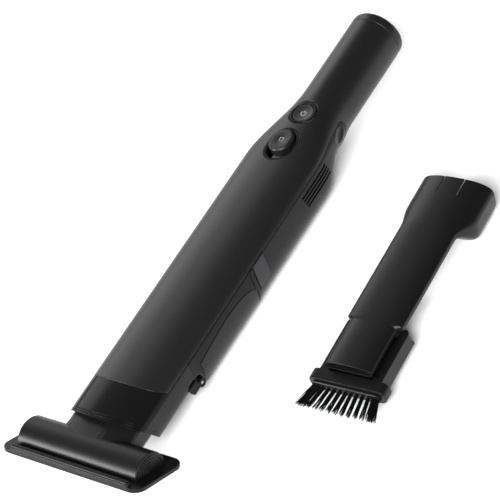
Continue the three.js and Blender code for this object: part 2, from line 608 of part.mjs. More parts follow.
function nozzleDoor() {
  const from = LIP_TOP_Y - 6;
  let nose = loft([from, NOSE_LENGTH].map((y) => bodyRing(y, 0)));
  // slanted mouth
  const lip = [[from - 1, -FAR], [LIP_TOP_Y + (HANDLE_RADIUS + FAR) * LIP_SLOPE, -FAR],
    [LIP_TOP_Y - (FAR - HANDLE_RADIUS) * LIP_SLOPE, FAR], [from - FAR, FAR]];
  nose = nose.subtract(sidePlate(lip, -FAR, FAR));
  // step down under the top cover
  const covered = loft([COVER_SETBACK - 6, NOSE_LENGTH + 1].map((y) => bodyRing(y, COVERED_INSET)))
    .intersect(box(-FAR, FAR, 0, FAR, -FAR, CUP_TOP_Z));
  nose = nose.subtract(coverRegion(GAP).subtract(covered));
  // mouth for a tool's neck, and the air duct behind it
  const mouth = neckForm(from - 1, NECK_DEPTH + NECK_CLEARANCE, -NECK_CLEARANCE);
  const airway = duct(NECK_DEPTH - 2, NOSE_LENGTH + 1, 0, DUCT_Z, DUCT_HALF_WIDTH, DUCT_HALF_HEIGHT,
    DUCT_CORNER);
  nose = nose.subtract(mouth).subtract(airway);
  // hinge ears that reach back along the cup's sides
  for (const side of [-1, 1]) {
    const inner = side * (EAR_INNER_X + GAP);
    const outer = side * EAR_OUTER_X;
    const root = crossBox(side * (DUCT_HALF_WIDTH + 0.6), outer, NOSE_LENGTH - 7, NOSE_LENGTH,
      HINGE_Z - 0.6, HINGE_Z + 2 * HINGE_EAR_RADIUS);
    const arm = crossBox(inner, outer, NOSE_LENGTH - 1, HINGE_Y, HINGE_Z - 0.6, HINGE_Z + HINGE_EAR_RADIUS);
    nose = nose.add(root).add(arm).add(crossRod(inner, outer, HINGE_Y, HINGE_Z, HINGE_EAR_RADIUS, 20))
      .subtract(crossRod(inner - side, outer + side, HINGE_Y, HINGE_Z, HINGE_PIN_RADIUS + GAP));
  }
  // seats for the flap's pivot
  const pivot = rod('x', -DUCT_HALF_WIDTH - 1.4, DUCT_HALF_WIDTH + 1.4, FLAP_Y, FLAP_PIVOT_Z, 1.2 + GAP,
    12);
  return piece('nozzle_door', nose.subtract(pivot), 0x151516, 0.2);
}

function inletFlap() {
  const half = DUCT_HALF_WIDTH - 2 * GAP;
  const plate = duct(FLAP_Y - FLAP_THICKNESS / 2, FLAP_Y + FLAP_THICKNESS / 2, 0,
    (FLAP_PIVOT_Z + DUCT_BOTTOM_Z) / 2 + 0.4, half, (FLAP_PIVOT_Z - DUCT_BOTTOM_Z) / 2, DUCT_CORNER - 1);
  const barrel = rod('x', -DUCT_HALF_WIDTH - 0.9, DUCT_HALF_WIDTH + 0.9, FLAP_Y, FLAP_PIVOT_Z, 1.2, 12);
  return piece('inlet_flap', plate.add(barrel), 0x333335, 0.9);
}

function hingePin(name, side) {
  const pin = crossRod(side * PIN_INNER_X, side * (EAR_OUTER_X - 0.4), HINGE_Y, HINGE_Z, HINGE_PIN_RADIUS);
  return piece(name, pin, 0xb5b5b8, 0.25, 1);
}

// ---------------------------------------------------------------- motor and fan

function fanShroud() {
  const front = SHROUD_Y;
  const back = SHROUD_Y + SHROUD_LENGTH;
  const eye = FAN_RADIUS * 0.5;
  const profile = [
    [eye, front], [SHROUD_RADIUS, front], [SHROUD_RADIUS, back], [SHROUD_RADIUS - SHROUD_WALL, back],
    [SHROUD_RADIUS - SHROUD_WALL, front + SHROUD_WALL], [eye, front + SHROUD_WALL], [eye, front],
  ];
  return piece('fan_shroud', turned(profile, MOTOR_Z, 36), 0x3b3d40, 0.5);
}

// Hub, back plate and slanted blades.
function impeller() {
  const blades = 9;
  const hub = turned([[0, FAN_Y + 1], [3.2, FAN_Y + 1.6], [5, FAN_Y + FAN_LENGTH - 1.5],
    [FAN_RADIUS - 0.5, FAN_Y + FAN_LENGTH - 1.5], [FAN_RADIUS - 0.5, FAN_Y + FAN_LENGTH], [0,
      FAN_Y + FAN_LENGTH]], MOTOR_Z, 27);
  let fan = hub;
  for (let i = 0; i < blades; i++) {
    const blade = new THREE.BoxGeometry(FAN_RADIUS - 4, FAN_LENGTH - 2, 0.9)
      .translate(FAN_RADIUS / 2 + 1.4, FAN_Y + FAN_LENGTH / 2 + 0.5, 0)
      .rotateY(0.35).translate(0, 0, 1.4).rotateY(2 * Math.PI * i / blades).translate(0, 0, MOTOR_Z);
    fan = fan.add(solid(blade));
  }
  const trim = rod('y', FAN_Y - 1, FAN_Y + FAN_LENGTH + 1, 0, MOTOR_Z, FAN_RADIUS, 40);
  const bore = rod('y', FAN_Y + 3, FAN_Y + FAN_LENGTH + 1, 0, MOTOR_Z, SHAFT_RADIUS + GAP, 12);
  return piece('impeller', fan.intersect(trim).subtract(bore), 0x55585c, 0.4);
}

function motorShaft() {
  return piece('motor_shaft', rod('y', FAN_Y + 3 + GAP, MOTOR_Y + MOTOR_LENGTH + 4, 0, MOTOR_Z,
    SHAFT_RADIUS, 12),
    0xc4c4c6, 0.2, 1);
}

function motorCan() {
  const back = MOTOR_Y + MOTOR_LENGTH;
  const profile = [[SHAFT_RADIUS + GAP, MOTOR_Y - 2], [5, MOTOR_Y - 2], [5, MOTOR_Y], [MOTOR_RADIUS,
    MOTOR_Y],
    [MOTOR_RADIUS, back], [4.5, back], [4.5, back + 2], [SHAFT_RADIUS + GAP, back + 2],
      [SHAFT_RADIUS + GAP, MOTOR_Y - 2]];
  return piece('motor_can', turned(profile, MOTOR_Z, 28), 0x8f9194, 0.3, 0.9);
}

// Rubber ring that carries the motor's front in the shroud, with air passages through it.
function motorMount() {
  const y0 = SHROUD_Y + SHROUD_LENGTH + GAP;
  const y1 = MOTOR_Y + 4;
  const outer = SHROUD_RADIUS;
  let ring = turned([[MOTOR_RADIUS + GAP, MOTOR_Y + 0.5], [outer, MOTOR_Y + 0.5], [outer, y1 + 3],
    [MOTOR_RADIUS + GAP, y1 + 3], [MOTOR_RADIUS + GAP, MOTOR_Y + 0.5]], MOTOR_Z, 28);
  const collar = turned([[SHROUD_RADIUS - SHROUD_WALL, y0], [outer, y0], [outer, MOTOR_Y + 1],
    [SHROUD_RADIUS - SHROUD_WALL, MOTOR_Y + 1], [SHROUD_RADIUS - SHROUD_WALL, y0]], MOTOR_Z, 28);
  ring = ring.add(collar);
  for (let i = 0; i < 6; i++) {
    const slot = new THREE.BoxGeometry(3, 20, 9).translate(SHROUD_RADIUS - 1.4, MOTOR_Y, 0)
      .rotateY(2 * Math.PI * (i + 0.5) / 6).translate(0, 0, MOTOR_Z);
    const keep = box(-FAR, FAR, y0 - 1, MOTOR_Y + 1.5, -FAR, FAR);
    ring = ring.subtract(solid(slot).subtract(keep));
  }
  return piece('motor_mount', ring, 0x2f3033, 0.9);
}

// Saddle that rises from the lower shell's floor under the motor's rear and under the shroud.
function saddle(name, y0, y1, radius) {
  const half = radius * 0.62;
  const block = box(-half, half, y0, y1, MOTOR_Z - radius - 2, MOTOR_Z - radius * 0.6)
    .add(box(-half, half, y0, y1, -FAR, MOTOR_Z - radius))
    .intersect(bodyForm(y0 - 1, y1 + 1, SHELL_WALL + GAP));
  return piece(name, block.subtract(rod('y', y0 - 1, y1 + 1, 0, MOTOR_Z, radius + GAP, 28)), 0x3c3d40, 0.6);
}

function exhaustFoam(name, side) {
  const reach = side > 0 ? [8, FAR] : [-FAR, -8];
  const y0 = VENT_Y - VENT_LENGTH / 2 - 8;
  const y1 = SCREW_BACK_Y - BOSS_RADIUS - 1.2 - GAP;
  const foam = bodyForm(y0, y1, SHELL_WALL + GAP).subtract(bodyForm(y0 - 1, y1 + 1, SHELL_WALL + GAP + 3))
    .intersect(box(...reach, y0, y1, VENT_TOP_Z - VENT_PITCH * VENT_SLOTS, SEAM_Z - 1.5));
  return piece(name, foam, 0x4a4c50, 1);
}

// ---------------------------------------------------------------- battery, board, jack

const CARRIER_END = 3;              // front spacer disc
const CARRIER_BACK = 1.2;           // rear spacer disc
const CELL_Y = CAP_Y - CAP_SPIGOT - GAP - CARRIER_BACK - GAP - CELL_LENGTH;
const PACK_Y = CELL_Y - GAP - CARRIER_END;

function batteryCell(name, place) {
  const angle = Math.PI / 2 + place * 2 * Math.PI / 3;
  const offset = CELL_PITCH / Math.sqrt(3);
  return piece(name, rod('y', CELL_Y, CELL_Y + CELL_LENGTH, offset * Math.cos(angle),
    offset * Math.sin(angle),
    CELL_DIAMETER / 2, 20), 0x2f6d9c, 0.4);
}

// Two spacer discs on a thin middle rod keep the three cells apart.
function batteryCarrier() {
  const radius = PACK_RADIUS - 0.2;
  const far = CELL_Y + CELL_LENGTH + GAP;
  const shape = rod('y', PACK_Y, PACK_Y + CARRIER_END, 0, 0, radius, 32)
    .subtract(rod('y', PACK_Y - 1, PACK_Y + CARRIER_END + 1, 0, 12, 3, 12))
    .add(rod('y', far, far + CARRIER_BACK, 0, 0, radius, 32))
    .add(rod('y', PACK_Y + 1, far + 0.6, 0, 0, 1.1, 8));
  return piece('battery_carrier', shape, 0xc9c7bd, 0.7);
}

function chargingJack() {
  const front = CAP_Y - CAP_SPIGOT + GAP;
  const shape = turned([[0, front], [JACK_RADIUS, front], [JACK_RADIUS, END_Y - 0.6], [2.9, END_Y - 0.6],
    [2.9, front + 2], [1, front + 2], [1, END_Y - 2.5], [0, END_Y - 2]], 0, 20);
  return piece('charging_jack', shape, 0x1a1a1b, 0.4);
}

function controlBoard() {
  const plate = box(-BOARD_HALF_WIDTH, BOARD_HALF_WIDTH, BUTTON_Y - BOARD_HALF_LENGTH,
    BUTTON_Y + BOARD_HALF_LENGTH,
    BOARD_Z, BOARD_Z + BOARD_THICKNESS);
  const chips = box(-8, -2, BUTTON_Y - 14, BUTTON_Y - 8, BOARD_Z - 1.4, BOARD_Z + 0.5)
    .add(box(2, 9, BUTTON_Y - 4, BUTTON_Y + 3, BOARD_Z - 2, BOARD_Z + 0.5))
    .add(box(-6, 6, BUTTON_Y + 10, BUTTON_Y + 15, BOARD_Z - 4, BOARD_Z + 0.5));
  return piece('control_board', plate.add(chips), 0x1f5a33, 0.5);
}

const SWITCH_TOP_Z = BOARD_Z + BOARD_THICKNESS + GAP + 3.8;

function tactSwitch() {
  const z = BOARD_Z + BOARD_THICKNESS + GAP;
  const shape = box(-3, 3, BUTTON_Y - 3, BUTTON_Y + 3, z, SWITCH_TOP_Z - 1)
    .add(rod('z', SWITCH_TOP_Z - 1.2, SWITCH_TOP_Z, 0, BUTTON_Y, 1.7, 12));
  return piece('tact_switch', shape, 0x111112, 0.4);
}

// ---------------------------------------------------------------- power button, slider and rod

function powerButtonRing() {
  const inner = BUTTON_RADIUS + GAP;
  const outer = inner + BUTTON_RING;
  const low = COVER_INNER_Z - 1.2;
  const shape = rod('z', low, BUTTON_FLOOR_Z + 0.4, 0, BUTTON_Y, outer, 32)
    .add(rod('z', low - 1, low + 0.1, 0, BUTTON_Y, outer + 1.2, 32)
      .intersect(bodyForm(BUTTON_Y - 20, BUTTON_Y + 20, (y) => shellWall(y) + GAP)))
    .subtract(rod('z', low - 2, HANDLE_RADIUS + 1, 0, BUTTON_Y, inner, 32));
  return piece('power_button_ring', shape, 0x232324, 0.25);
}

function powerButton() {
  const stem = rod('z', SWITCH_TOP_Z + BUTTON_TRAVEL + GAP, BUTTON_FLOOR_Z - 1, 0, BUTTON_Y, 2, 12);
  const top = rod('z', BUTTON_FLOOR_Z - 2.2, BUTTON_FLOOR_Z + 0.2, 0, BUTTON_Y, BUTTON_RADIUS, 32);
  return piece('power_button', top.add(stem), 0x262627, 0.4);
}

function sliderBezel() {
  const top = HANDLE_RADIUS - 0.5;
  const outer = planPlate(oval(WELL_HALF_WIDTH + BEZEL_RIM, WELL_HALF_LENGTH + BEZEL_RIM, SLIDER_Y),
    ROD_Z + ROD_HEIGHT + GAP, top);
  const well = planPlate(oval(WELL_HALF_WIDTH, WELL_HALF_LENGTH, SLIDER_Y), ROD_Z, top + 1);
  return piece('slider_bezel', outer.subtract(well), 0x1b1b1c, 0.3);
}

function ejectSlider() {
  const y = SLIDER_Y + SLIDER_TRAVEL / 2;
  const base = ROD_Z + ROD_HEIGHT + GAP;
  const crown = HANDLE_RADIUS + 3.2;
  const cap = planPlate(oval(SLIDER_HALF_WIDTH, SLIDER_LENGTH / 2, y), base, crown - 1.2)
    .add(planPlate(oval(SLIDER_HALF_WIDTH - 0.9, SLIDER_LENGTH / 2 - 0.9, y), base, crown));
  const dish = new THREE.SphereGeometry(16, 28, 18).translate(0, y + 1.2, crown + 14.4);
  return piece('eject_slider', cap.subtract(solid(dish)), 0x202021, 0.3);
}

const ROD_FRONT_Y = CUP_Y + 5.8;

function releaseRod() {
  const y1 = SLIDER_Y + WELL_HALF_LENGTH;
  return piece('release_rod', box(-ROD_HALF_WIDTH, ROD_HALF_WIDTH, ROD_FRONT_Y, y1, ROD_Z,
    ROD_Z + ROD_HEIGHT), 0x6d7074, 0.5);
}

// Extension spring that draws the rod back.
function returnSpring() {
  const turns = 5;
  const y0 = SLIDER_Y + WELL_HALF_LENGTH + 0.9;
  const length = 5;
  const wire = 0.3;
  const radius = ROD_HEIGHT / 2 - wire;
  class Coil extends THREE.Curve {
    getPoint(t) {
      const angle = 2 * Math.PI * turns * t;
      return new THREE.Vector3(radius * Math.cos(angle), y0 + length * t,
        ROD_Z + ROD_HEIGHT / 2 + radius * Math.sin(angle));
    }
  }
  const section = new THREE.Shape(arc(0, 0, wire, 0, 270, 3).map(([a, b]) => new THREE.Vector2(a, b)));
  const geometry = new THREE.ExtrudeGeometry(section, { extrudePath: new Coil(), steps: turns * 8,
    bevelEnabled: false });
  return piece('return_spring', solid(geometry), 0xbfbfc2, 0.3, 1);
}

// ---------------------------------------------------------------- pet tool

// Moves a solid that is drawn flat (X across, Y fore and aft, Z off the sole) onto the tilted tool.
function tilt(shape) {
  return shape.rotate([THREE.MathUtils.radToDeg(TOOL_TILT), 0, 0]).translate([0, TOOL_Y, TOOL_Z]);
}

// The barrel's arched section, pushed along X.
function barrel(halfLength, halfDepth, height, floor) {
  const points = Array.from({ length: 19 }, (_, i) => {
    const angle = Math.PI * i / 18;
    return [halfDepth * Math.cos(angle), floor + height * Math.sin(angle)];
  });
  return sidePlate(points, -halfLength, halfLength);
}

function petToolBody() {
  const front = TOOL_Y + 4;
  const under = box(-FAR, FAR, -FAR, FAR, -FAR, 0);
  const body = neckForm(front, NECK_DEPTH, 0).subtract(tilt(under))
    .add(tilt(barrel(TOOL_HALF_LENGTH, BARREL_HALF_DEPTH, BARREL_HEIGHT, 0)));
  const wall = BARREL_WALL;
  const bore = neckForm(front + wall, NECK_DEPTH + 1, wall)
    .subtract(tilt(box(-FAR, FAR, -FAR, FAR, -FAR, wall)));
  const chamber = tilt(barrel(TOOL_HALF_LENGTH - wall, BARREL_HALF_DEPTH - wall, BARREL_HEIGHT - wall, 0)
    .add(box(-TOOL_HALF_LENGTH + wall, TOOL_HALF_LENGTH - wall, wall - BARREL_HALF_DEPTH,
      BARREL_HALF_DEPTH - wall, -1, 0.1)));
  return piece('pet_tool_body', body.subtract(bore).subtract(chamber), 0x222223, 0.6);
}

const SOLE_Y = (SOLE_FRONT + SOLE_BACK) / 2;
const SOLE_HALF_DEPTH = (SOLE_BACK - SOLE_FRONT) / 2;
const SLOT_HALF_WIDTH = TOOL_HALF_LENGTH - 6;
const SLOT_HALF_DEPTH = 6.5;

function petToolSole() {
  const top = -GAP;
  const plate = planPlate(roundedRectangle(0, SOLE_Y, SOLE_HALF_WIDTH, SOLE_HALF_DEPTH, 9, 6),
    top - SOLE_THICKNESS, top);
  const slot = planPlate(roundedRectangle(0, 0, SLOT_HALF_WIDTH, SLOT_HALF_DEPTH, 3),
    top - SOLE_THICKNESS - 1, top + 1);
  const roll = rod('x', 9 - SOLE_HALF_WIDTH, SOLE_HALF_WIDTH - 9, SOLE_FRONT + SOLE_ROLL_RADIUS,
    top - SOLE_THICKNESS + SOLE_ROLL_RADIUS, SOLE_ROLL_RADIUS, 20);
  return piece('pet_tool_sole', tilt(plate.subtract(slot).add(roll)), 0x1c1c1d, 0.5);
}

function lintStrip(name, from) {
  const z1 = -GAP - SOLE_THICKNESS - GAP;
  const strip = planPlate(roundedRectangle(0, from + 4, SLOT_HALF_WIDTH, 4, 3), z1 - 1.8, z1);
  return piece(name, tilt(strip), 0x3a3a3d, 1);
}

// ---------------------------------------------------------------- duster crevice tool

const TOOL_TOP = 2 * NECK_HALF_HEIGHT;              // heights here are above the table
const TUBE_BOTTOM = TOOL_TOP - CREVICE_HEIGHT;
const CARRIAGE_TOP = TUBE_BOTTOM - GAP;
const RAIL_END = STEP_LENGTH + 3;
const RUNNER_Y = STEP_LENGTH + 6;                   // runner block on the guide
const RUNNER_LENGTH = 20;
const RUNNER_HALF_WIDTH = 10;
const FOOT_HALF_WIDTH = 13;
const CARRIAGE_HEIGHT = 12.5;
const CARRIAGE_HALF_WIDTH = CREVICE_TIP_HALF_WIDTH + RAIL_REACH;
const FLANGE = 2.2;                                 // how far the guide's flange stands out and its height
const TRAY = 2.5;                                   // tray's floor

// The crevice tool's outside, or its bore when inset is set.
function creviceForm(inset, from, to) {
  const flareY = CREVICE_LENGTH - SOCKET_LENGTH - SOCKET_FLARE;
  const rings = [[from, CREVICE_TIP_HALF_WIDTH, 0], [STEP_LENGTH - 3, CREVICE_TIP_HALF_WIDTH, 0],
    [STEP_LENGTH, CREVICE_HALF_WIDTH, 0]];
  const steps = 6;
  for (let i = 0; i <= steps; i++) {
    const t = smooth(i / steps);
    rings.push([flareY + SOCKET_FLARE * i / steps, lerp(CREVICE_HALF_WIDTH, NECK_HALF_WIDTH, t), t]);
  }
  rings.push([to, NECK_HALF_WIDTH, 1]);
  return loft(rings.map(([y, halfWidth, t]) => {
    const roof = lerp(CREVICE_ROOF, NECK_ROOF, t);
    const low = lerp(CREVICE_HEIGHT - CREVICE_ROOF, NECK_LOW, t);
    return archSection(halfWidth - inset, TOOL_TOP - roof, roof - inset, low - inset, ROOF_POWER, LOW_POWER,
      DRAW_IN * t).map(([x, z]) => [x, y, z]);
  }));
}

// T-shaped guide, or the slot for it when clear is set.
function guide(from, to, clear) {
  const foot = TUBE_BOTTOM - 2 * FLANGE - clear;
  return box(-GUIDE_HALF_WIDTH - clear, GUIDE_HALF_WIDTH + clear, from, to, foot, TUBE_BOTTOM + 1)
    .add(box(-GUIDE_HALF_WIDTH - FLANGE - clear, GUIDE_HALF_WIDTH + FLANGE + clear, from, to,
      foot, TUBE_BOTTOM - FLANGE + clear));
}

function creviceTube() {
  const wall = 1.6;
  let tube = creviceForm(0, 0, CREVICE_LENGTH)
    .add(guide(RUNNER_Y + 1, RUNNER_Y + RUNNER_LENGTH + CARRIAGE_TRAVEL - 1, 0))
    .subtract(creviceForm(wall, -1, CREVICE_LENGTH + 1));
  // two slits that let the socket's rim flex
  for (const x of [-8, 8]) {
    tube = tube.subtract(box(x - 0.6, x + 0.6, CREVICE_LENGTH - SOCKET_SLIT, CREVICE_LENGTH + 1,
      NECK_HALF_HEIGHT, FAR));
  }
  return piece('crevice_tube', tube, 0x202021, 0.45);
}

// Tray that slides under the tube: a floor, two rails, a foot, a runner on the guide and the brush head.
function brushCarriage() {
  const front = -BRUSH_SETBACK - 1;
  const low = CARRIAGE_TOP - CARRIAGE_HEIGHT;
  const outer = CARRIAGE_HALF_WIDTH;
  let tray = box(-outer, outer, front, RAIL_END, low, low + TRAY)
    .add(box(-FOOT_HALF_WIDTH, FOOT_HALF_WIDTH, RAIL_END - 18, RAIL_END - 2, 0, low + 1))
    .add(box(-RUNNER_HALF_WIDTH, RUNNER_HALF_WIDTH, RAIL_END - 1, RUNNER_Y + RUNNER_LENGTH, low,
      CARRIAGE_TOP));
  for (const side of [-1, 1]) {
    const rail = [[front, low], [RAIL_END, low], [RAIL_END, CARRIAGE_TOP], [front, CARRIAGE_TOP]];
    const inner = side * (outer - RAIL_WIDTH);
    tray = tray.add(sidePlate(rail, Math.min(inner, side * outer), Math.max(inner, side * outer)));
  }
  const middle = CARRIAGE_TOP - CARRIAGE_HEIGHT / 2;
  const section = roundedRectangle(0, middle, BRUSH_HALF_WIDTH, CARRIAGE_HEIGHT / 2, 4.5, 3);
  const head = loft([-BRUSH_SETBACK - BRUSH_DEPTH, -BRUSH_SETBACK].map((y) => section
    .map(([x, z]) => [x, y, z])));
  const slot = guide(RAIL_END - 2, RUNNER_Y + RUNNER_LENGTH + 1, GAP);
  return piece('brush_carriage', tray.add(head).subtract(slot), 0x1e1e1f, 0.4);
}

// Moulded base strip with a fan of bristle tufts.
function bristleStrip() {
  const back = -BRUSH_SETBACK - BRUSH_DEPTH - GAP;
  const half = BRUSH_HALF_WIDTH - 4;
  const z = CARRIAGE_TOP - CARRIAGE_HEIGHT / 2;
  let strip = box(-half, half, back - 1.6, back, z - 4, z + 4);
  for (let i = 0; i < TUFTS; i++) {
    const t = 2 * i / (TUFTS - 1) - 1;
    const length = BRISTLE_LENGTH * (1 - 0.15 * t * t);
    const tuft = new THREE.CylinderGeometry(1.2, 2, length, 6).rotateX(Math.PI)
      .translate(0, -length / 2, 0).rotateZ(Math.asin(0.24 * t))
      .translate(t * (half - 2.2), back - 0.8, z);
    strip = strip.add(solid(tuft));
  }
  return piece('bristle_strip', strip, 0x141415, 0.9);
}

// ---------------------------------------------------------------- the whole vacuum

const vacuum = new THREE.Group();
vacuum.add(
  upperShell(), lowerShell(), endCap(),
  cupButton('cup_button_left', -1), cupButton('cup_button_right', 1),
  ...SCREW_PLACES.map((place, i) => caseScrew(`case_screw_${i + 1}`, place)),
  dustCup(), doorSeal(), filterFrame(), meshScreen(), pleatedFilter(),
  nozzleDoor(), inletFlap(), hingePin('hinge_pin_left', -1), hingePin('hinge_pin_right', 1),
  fanShroud(), impeller(), motorShaft(), motorCan(), motorMount(),
  saddle('shroud_saddle', SHROUD_Y + 3, SHROUD_Y + 11, SHROUD_RADIUS),
  saddle('motor_saddle', MOTOR_Y + MOTOR_LENGTH - 10, MOTOR_Y + MOTOR_LENGTH - 2, MOTOR_RADIUS),
  exhaustFoam('exhaust_foam_left', -1), exhaustFoam('exhaust_foam_right', 1),
  ...[1, 2, 3].map((n) => batteryCell(`battery_cell_${n}`, n - 1)),
  batteryCarrier(), chargingJack(), controlBoard(), tactSwitch(),
  powerButtonRing(), powerButton(), sliderBezel(), ejectSlider(), releaseRod(), returnSpring(),
  petToolBody(), petToolSole(), lintStrip('lint_strip_front', -18.5), lintStrip('lint_strip_back', 10.5),
);

const creviceTool = new THREE.Group();
creviceTool.add(creviceTube(), brushCarriage(), bristleStrip());
creviceTool.position.set(CREVICE_X, CREVICE_Y, -BELLY_DEPTH);
creviceTool.rotation.z = CREVICE_TURN;
vacuum.add(creviceTool);
vacuum.position.set(0, -(BELLY_Y + BELLY_END_Y) / 2, BELLY_DEPTH);

export default vacuum;
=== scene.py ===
# %% [markdown]
# # A slim hand vacuum, built round its CAD frame
# The vacuum lies on its flat belly with the pet-hair tool on its nose. The duster crevice tool lies
# beside it. The CAD frame fixes every size and joint. This lesson gives each visible piece its fine
# form and its real finish.

# %% Load the frame
import math

import bmesh
import bpy
import numpy as np
from mathutils import Matrix, Vector


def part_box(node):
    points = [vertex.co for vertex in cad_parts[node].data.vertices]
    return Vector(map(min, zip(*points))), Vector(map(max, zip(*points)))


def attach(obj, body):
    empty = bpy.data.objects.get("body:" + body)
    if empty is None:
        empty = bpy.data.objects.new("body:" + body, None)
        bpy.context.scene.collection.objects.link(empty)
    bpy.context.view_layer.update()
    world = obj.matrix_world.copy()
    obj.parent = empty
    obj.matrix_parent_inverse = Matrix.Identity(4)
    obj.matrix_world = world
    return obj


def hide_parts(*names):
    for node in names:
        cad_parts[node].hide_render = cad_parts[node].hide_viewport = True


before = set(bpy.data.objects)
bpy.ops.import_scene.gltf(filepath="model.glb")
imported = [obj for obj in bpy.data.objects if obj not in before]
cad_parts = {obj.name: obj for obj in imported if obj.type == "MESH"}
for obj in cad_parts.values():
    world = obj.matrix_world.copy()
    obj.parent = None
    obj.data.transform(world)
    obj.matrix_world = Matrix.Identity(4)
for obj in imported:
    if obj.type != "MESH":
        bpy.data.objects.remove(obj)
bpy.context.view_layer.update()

# %% [markdown]
# Sizes are kept in millimetres. Y is counted from the lip of the nose and Z from the handle's axis,
# because the body is symmetrical about that axis. The frame's boxes say where the lip and the axis are.

# %% Places taken from the frame
MM = 0.001


def millimetres(node):
    low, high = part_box(node)
    return [v / MM for v in low], [v / MM for v in high]


CAP_LOW, CAP_HIGH = millimetres("end_cap")
DOOR_LOW = millimetres("nozzle_door")[0]
CUP_LOW, CUP_HIGH = millimetres("dust_cup")
LOWER_LOW = millimetres("lower_shell")[0]
HANDLE_RADIUS = (CAP_HIGH[0] - CAP_LOW[0]) / 2
AXIS_Z = (CAP_HIGH[2] + CAP_LOW[2]) / 2
LIP_TOP_Y = -7.0
LIP_SLOPE = 0.5
LIP_Y = DOOR_LOW[1] - LIP_TOP_Y
GAP = 0.3
print("handle radius", round(HANDLE_RADIUS, 2), "axis at", round(AXIS_Z, 2), "lip at", round(LIP_Y, 2))

# %% Stations along the body
END_Y = CAP_HIGH[1] - LIP_Y
CUP_Y = CUP_LOW[1] - LIP_Y
CUP_END_Y = CUP_HIGH[1] - LIP_Y
BAY_Y = LOWER_LOW[1] - LIP_Y
NOSE_LENGTH = CUP_Y - GAP
CAP_LENGTH = 9
HANDLE_LENGTH = 72
FLARE_LENGTH = 68
CAP_Y = END_Y - CAP_LENGTH
FLARE_Y = CAP_Y - HANDLE_LENGTH - FLARE_LENGTH
BELLY_Y = CUP_Y + 14
BELLY_END_Y = FLARE_Y + 9
WAIST_Y = FLARE_Y + 34
WAIST_END_Y = FLARE_Y + 50
TONGUE_Y = FLARE_Y + 46
TONGUE_Z = -1
TONGUE_RADIUS = 8.5
BODY_HALF_WIDTH = 31.5
WIDEST_Z = 7
SEAM_Z = 9.5
SHELL_WALL = 2.2
HANDLE_WALL = 1.3
COVER_SETBACK = 24
NOSE_DEPTH = 18.5
WAIST_DEPTH = 16.5
BELLY_CROWN = 0.6
print("cup", round(CUP_Y, 2), "bay", round(BAY_Y, 2), "flare", round(FLARE_Y, 2), "end", round(END_Y, 2))

# %% [markdown]
# A hollow moulded body is easiest to make the way its mould is drawn: a row of cross-sections, skinned,
# with the inside taken away. The section is a superellipse whose powers, width and depth change along
# the body. This keeps the replacement on the frame's own surface, only with finer facets.

# %% The body's cross-section
RING_POINTS = 160


def lerp(a, b, t):
    return a + (b - a) * t


def smooth(t):
    t = min(max(t, 0.0), 1.0)
    return t * t * (3 - 2 * t)


def belly_depth(y):
    depth = AXIS_Z
    if y < BELLY_Y:
        return lerp(NOSE_DEPTH, depth, smooth((y - CUP_Y - 3) / (BELLY_Y - CUP_Y - 3)))
    if y < WAIST_Y:
        return lerp(depth, WAIST_DEPTH, smooth((y - BELLY_END_Y) / (WAIST_Y - BELLY_END_Y)))
    return lerp(WAIST_DEPTH, HANDLE_RADIUS, smooth((y - WAIST_Y) / (WAIST_END_Y - WAIST_Y)))


ROOF_POWER = 2.4
LOW_POWER = 6
BELLY_POWER = 4.2
DRAW_IN = 0.1


def arch_section(half_width, middle, roof, low, powers=(ROOF_POWER, LOW_POWER), draw_in=DRAW_IN):
    """An arched section as (x, z) points, with its heights above and below its widest line."""
    section = []
    for i in range(RING_POINTS):
        angle = 2 * math.pi * i / RING_POINTS
        c, s = math.cos(angle), math.sin(angle)
        power = 2 / (powers[0] if s > 0 else powers[1])
        rise = (roof if s > 0 else low) * math.copysign(abs(s) ** power, s)
        narrow = 1 + draw_in * rise / low if rise < 0 else 1
        section.append((half_width * narrow * math.copysign(abs(c) ** power, c), middle + rise))
    return section


def body_ring(y, inset):
    flare = smooth((y - FLARE_Y) / FLARE_LENGTH)
    half_width = lerp(BODY_HALF_WIDTH, HANDLE_RADIUS, flare) - inset
    middle = lerp(WIDEST_Z, 0, flare)
    low_power = lerp(LOW_POWER, BELLY_POWER, smooth((y - CUP_Y) / (BELLY_Y - CUP_Y)))
    belly = inset - belly_depth(y)
    section = arch_section(half_width, middle, HANDLE_RADIUS - inset - middle, middle - belly + BELLY_CROWN,
                           (lerp(ROOF_POWER, 2, flare), lerp(low_power, 2, flare)), lerp(DRAW_IN, 0, flare))
    return [(x, y, max(z, belly)) for x, z in section]


def shell_wall(y):
    return lerp(SHELL_WALL, HANDLE_WALL, smooth((y - FLARE_Y) / FLARE_LENGTH))


# %% Solids by skinning, extruding and turning
def solid(name, points, faces):
    mesh = bpy.data.meshes.new(name)
    mesh.from_pydata([tuple(p) for p in points], [], faces)
    form = bmesh.new()
    form.from_mesh(mesh)
    bmesh.ops.remove_doubles(form, verts=form.verts, dist=1e-5)
    bmesh.ops.recalc_face_normals(form, faces=form.faces)
    form.to_mesh(mesh)
    form.free()
    piece = bpy.data.objects.new(name, mesh)
    bpy.context.collection.objects.link(piece)
    return piece


def skin(name, rings):
    """Closed solid over rings of points that run one after another."""
    count = len(rings[0])
    faces = [list(range(count))[::-1], list(range((len(rings) - 1) * count, len(rings) * count))]
    for r in range(len(rings) - 1):
        for i in range(count):
            j = (i + 1) % count
            faces.append((r * count + i, r * count + j, (r + 1) * count + j, (r + 1) * count + i))
    return solid(name, [p for ring in rings for p in ring], faces)


FRONT_SECTIONS = 18
FLARE_SECTIONS = 64
LEAST_SECTIONS = 12
CLOSEST_SECTIONS = 0.2


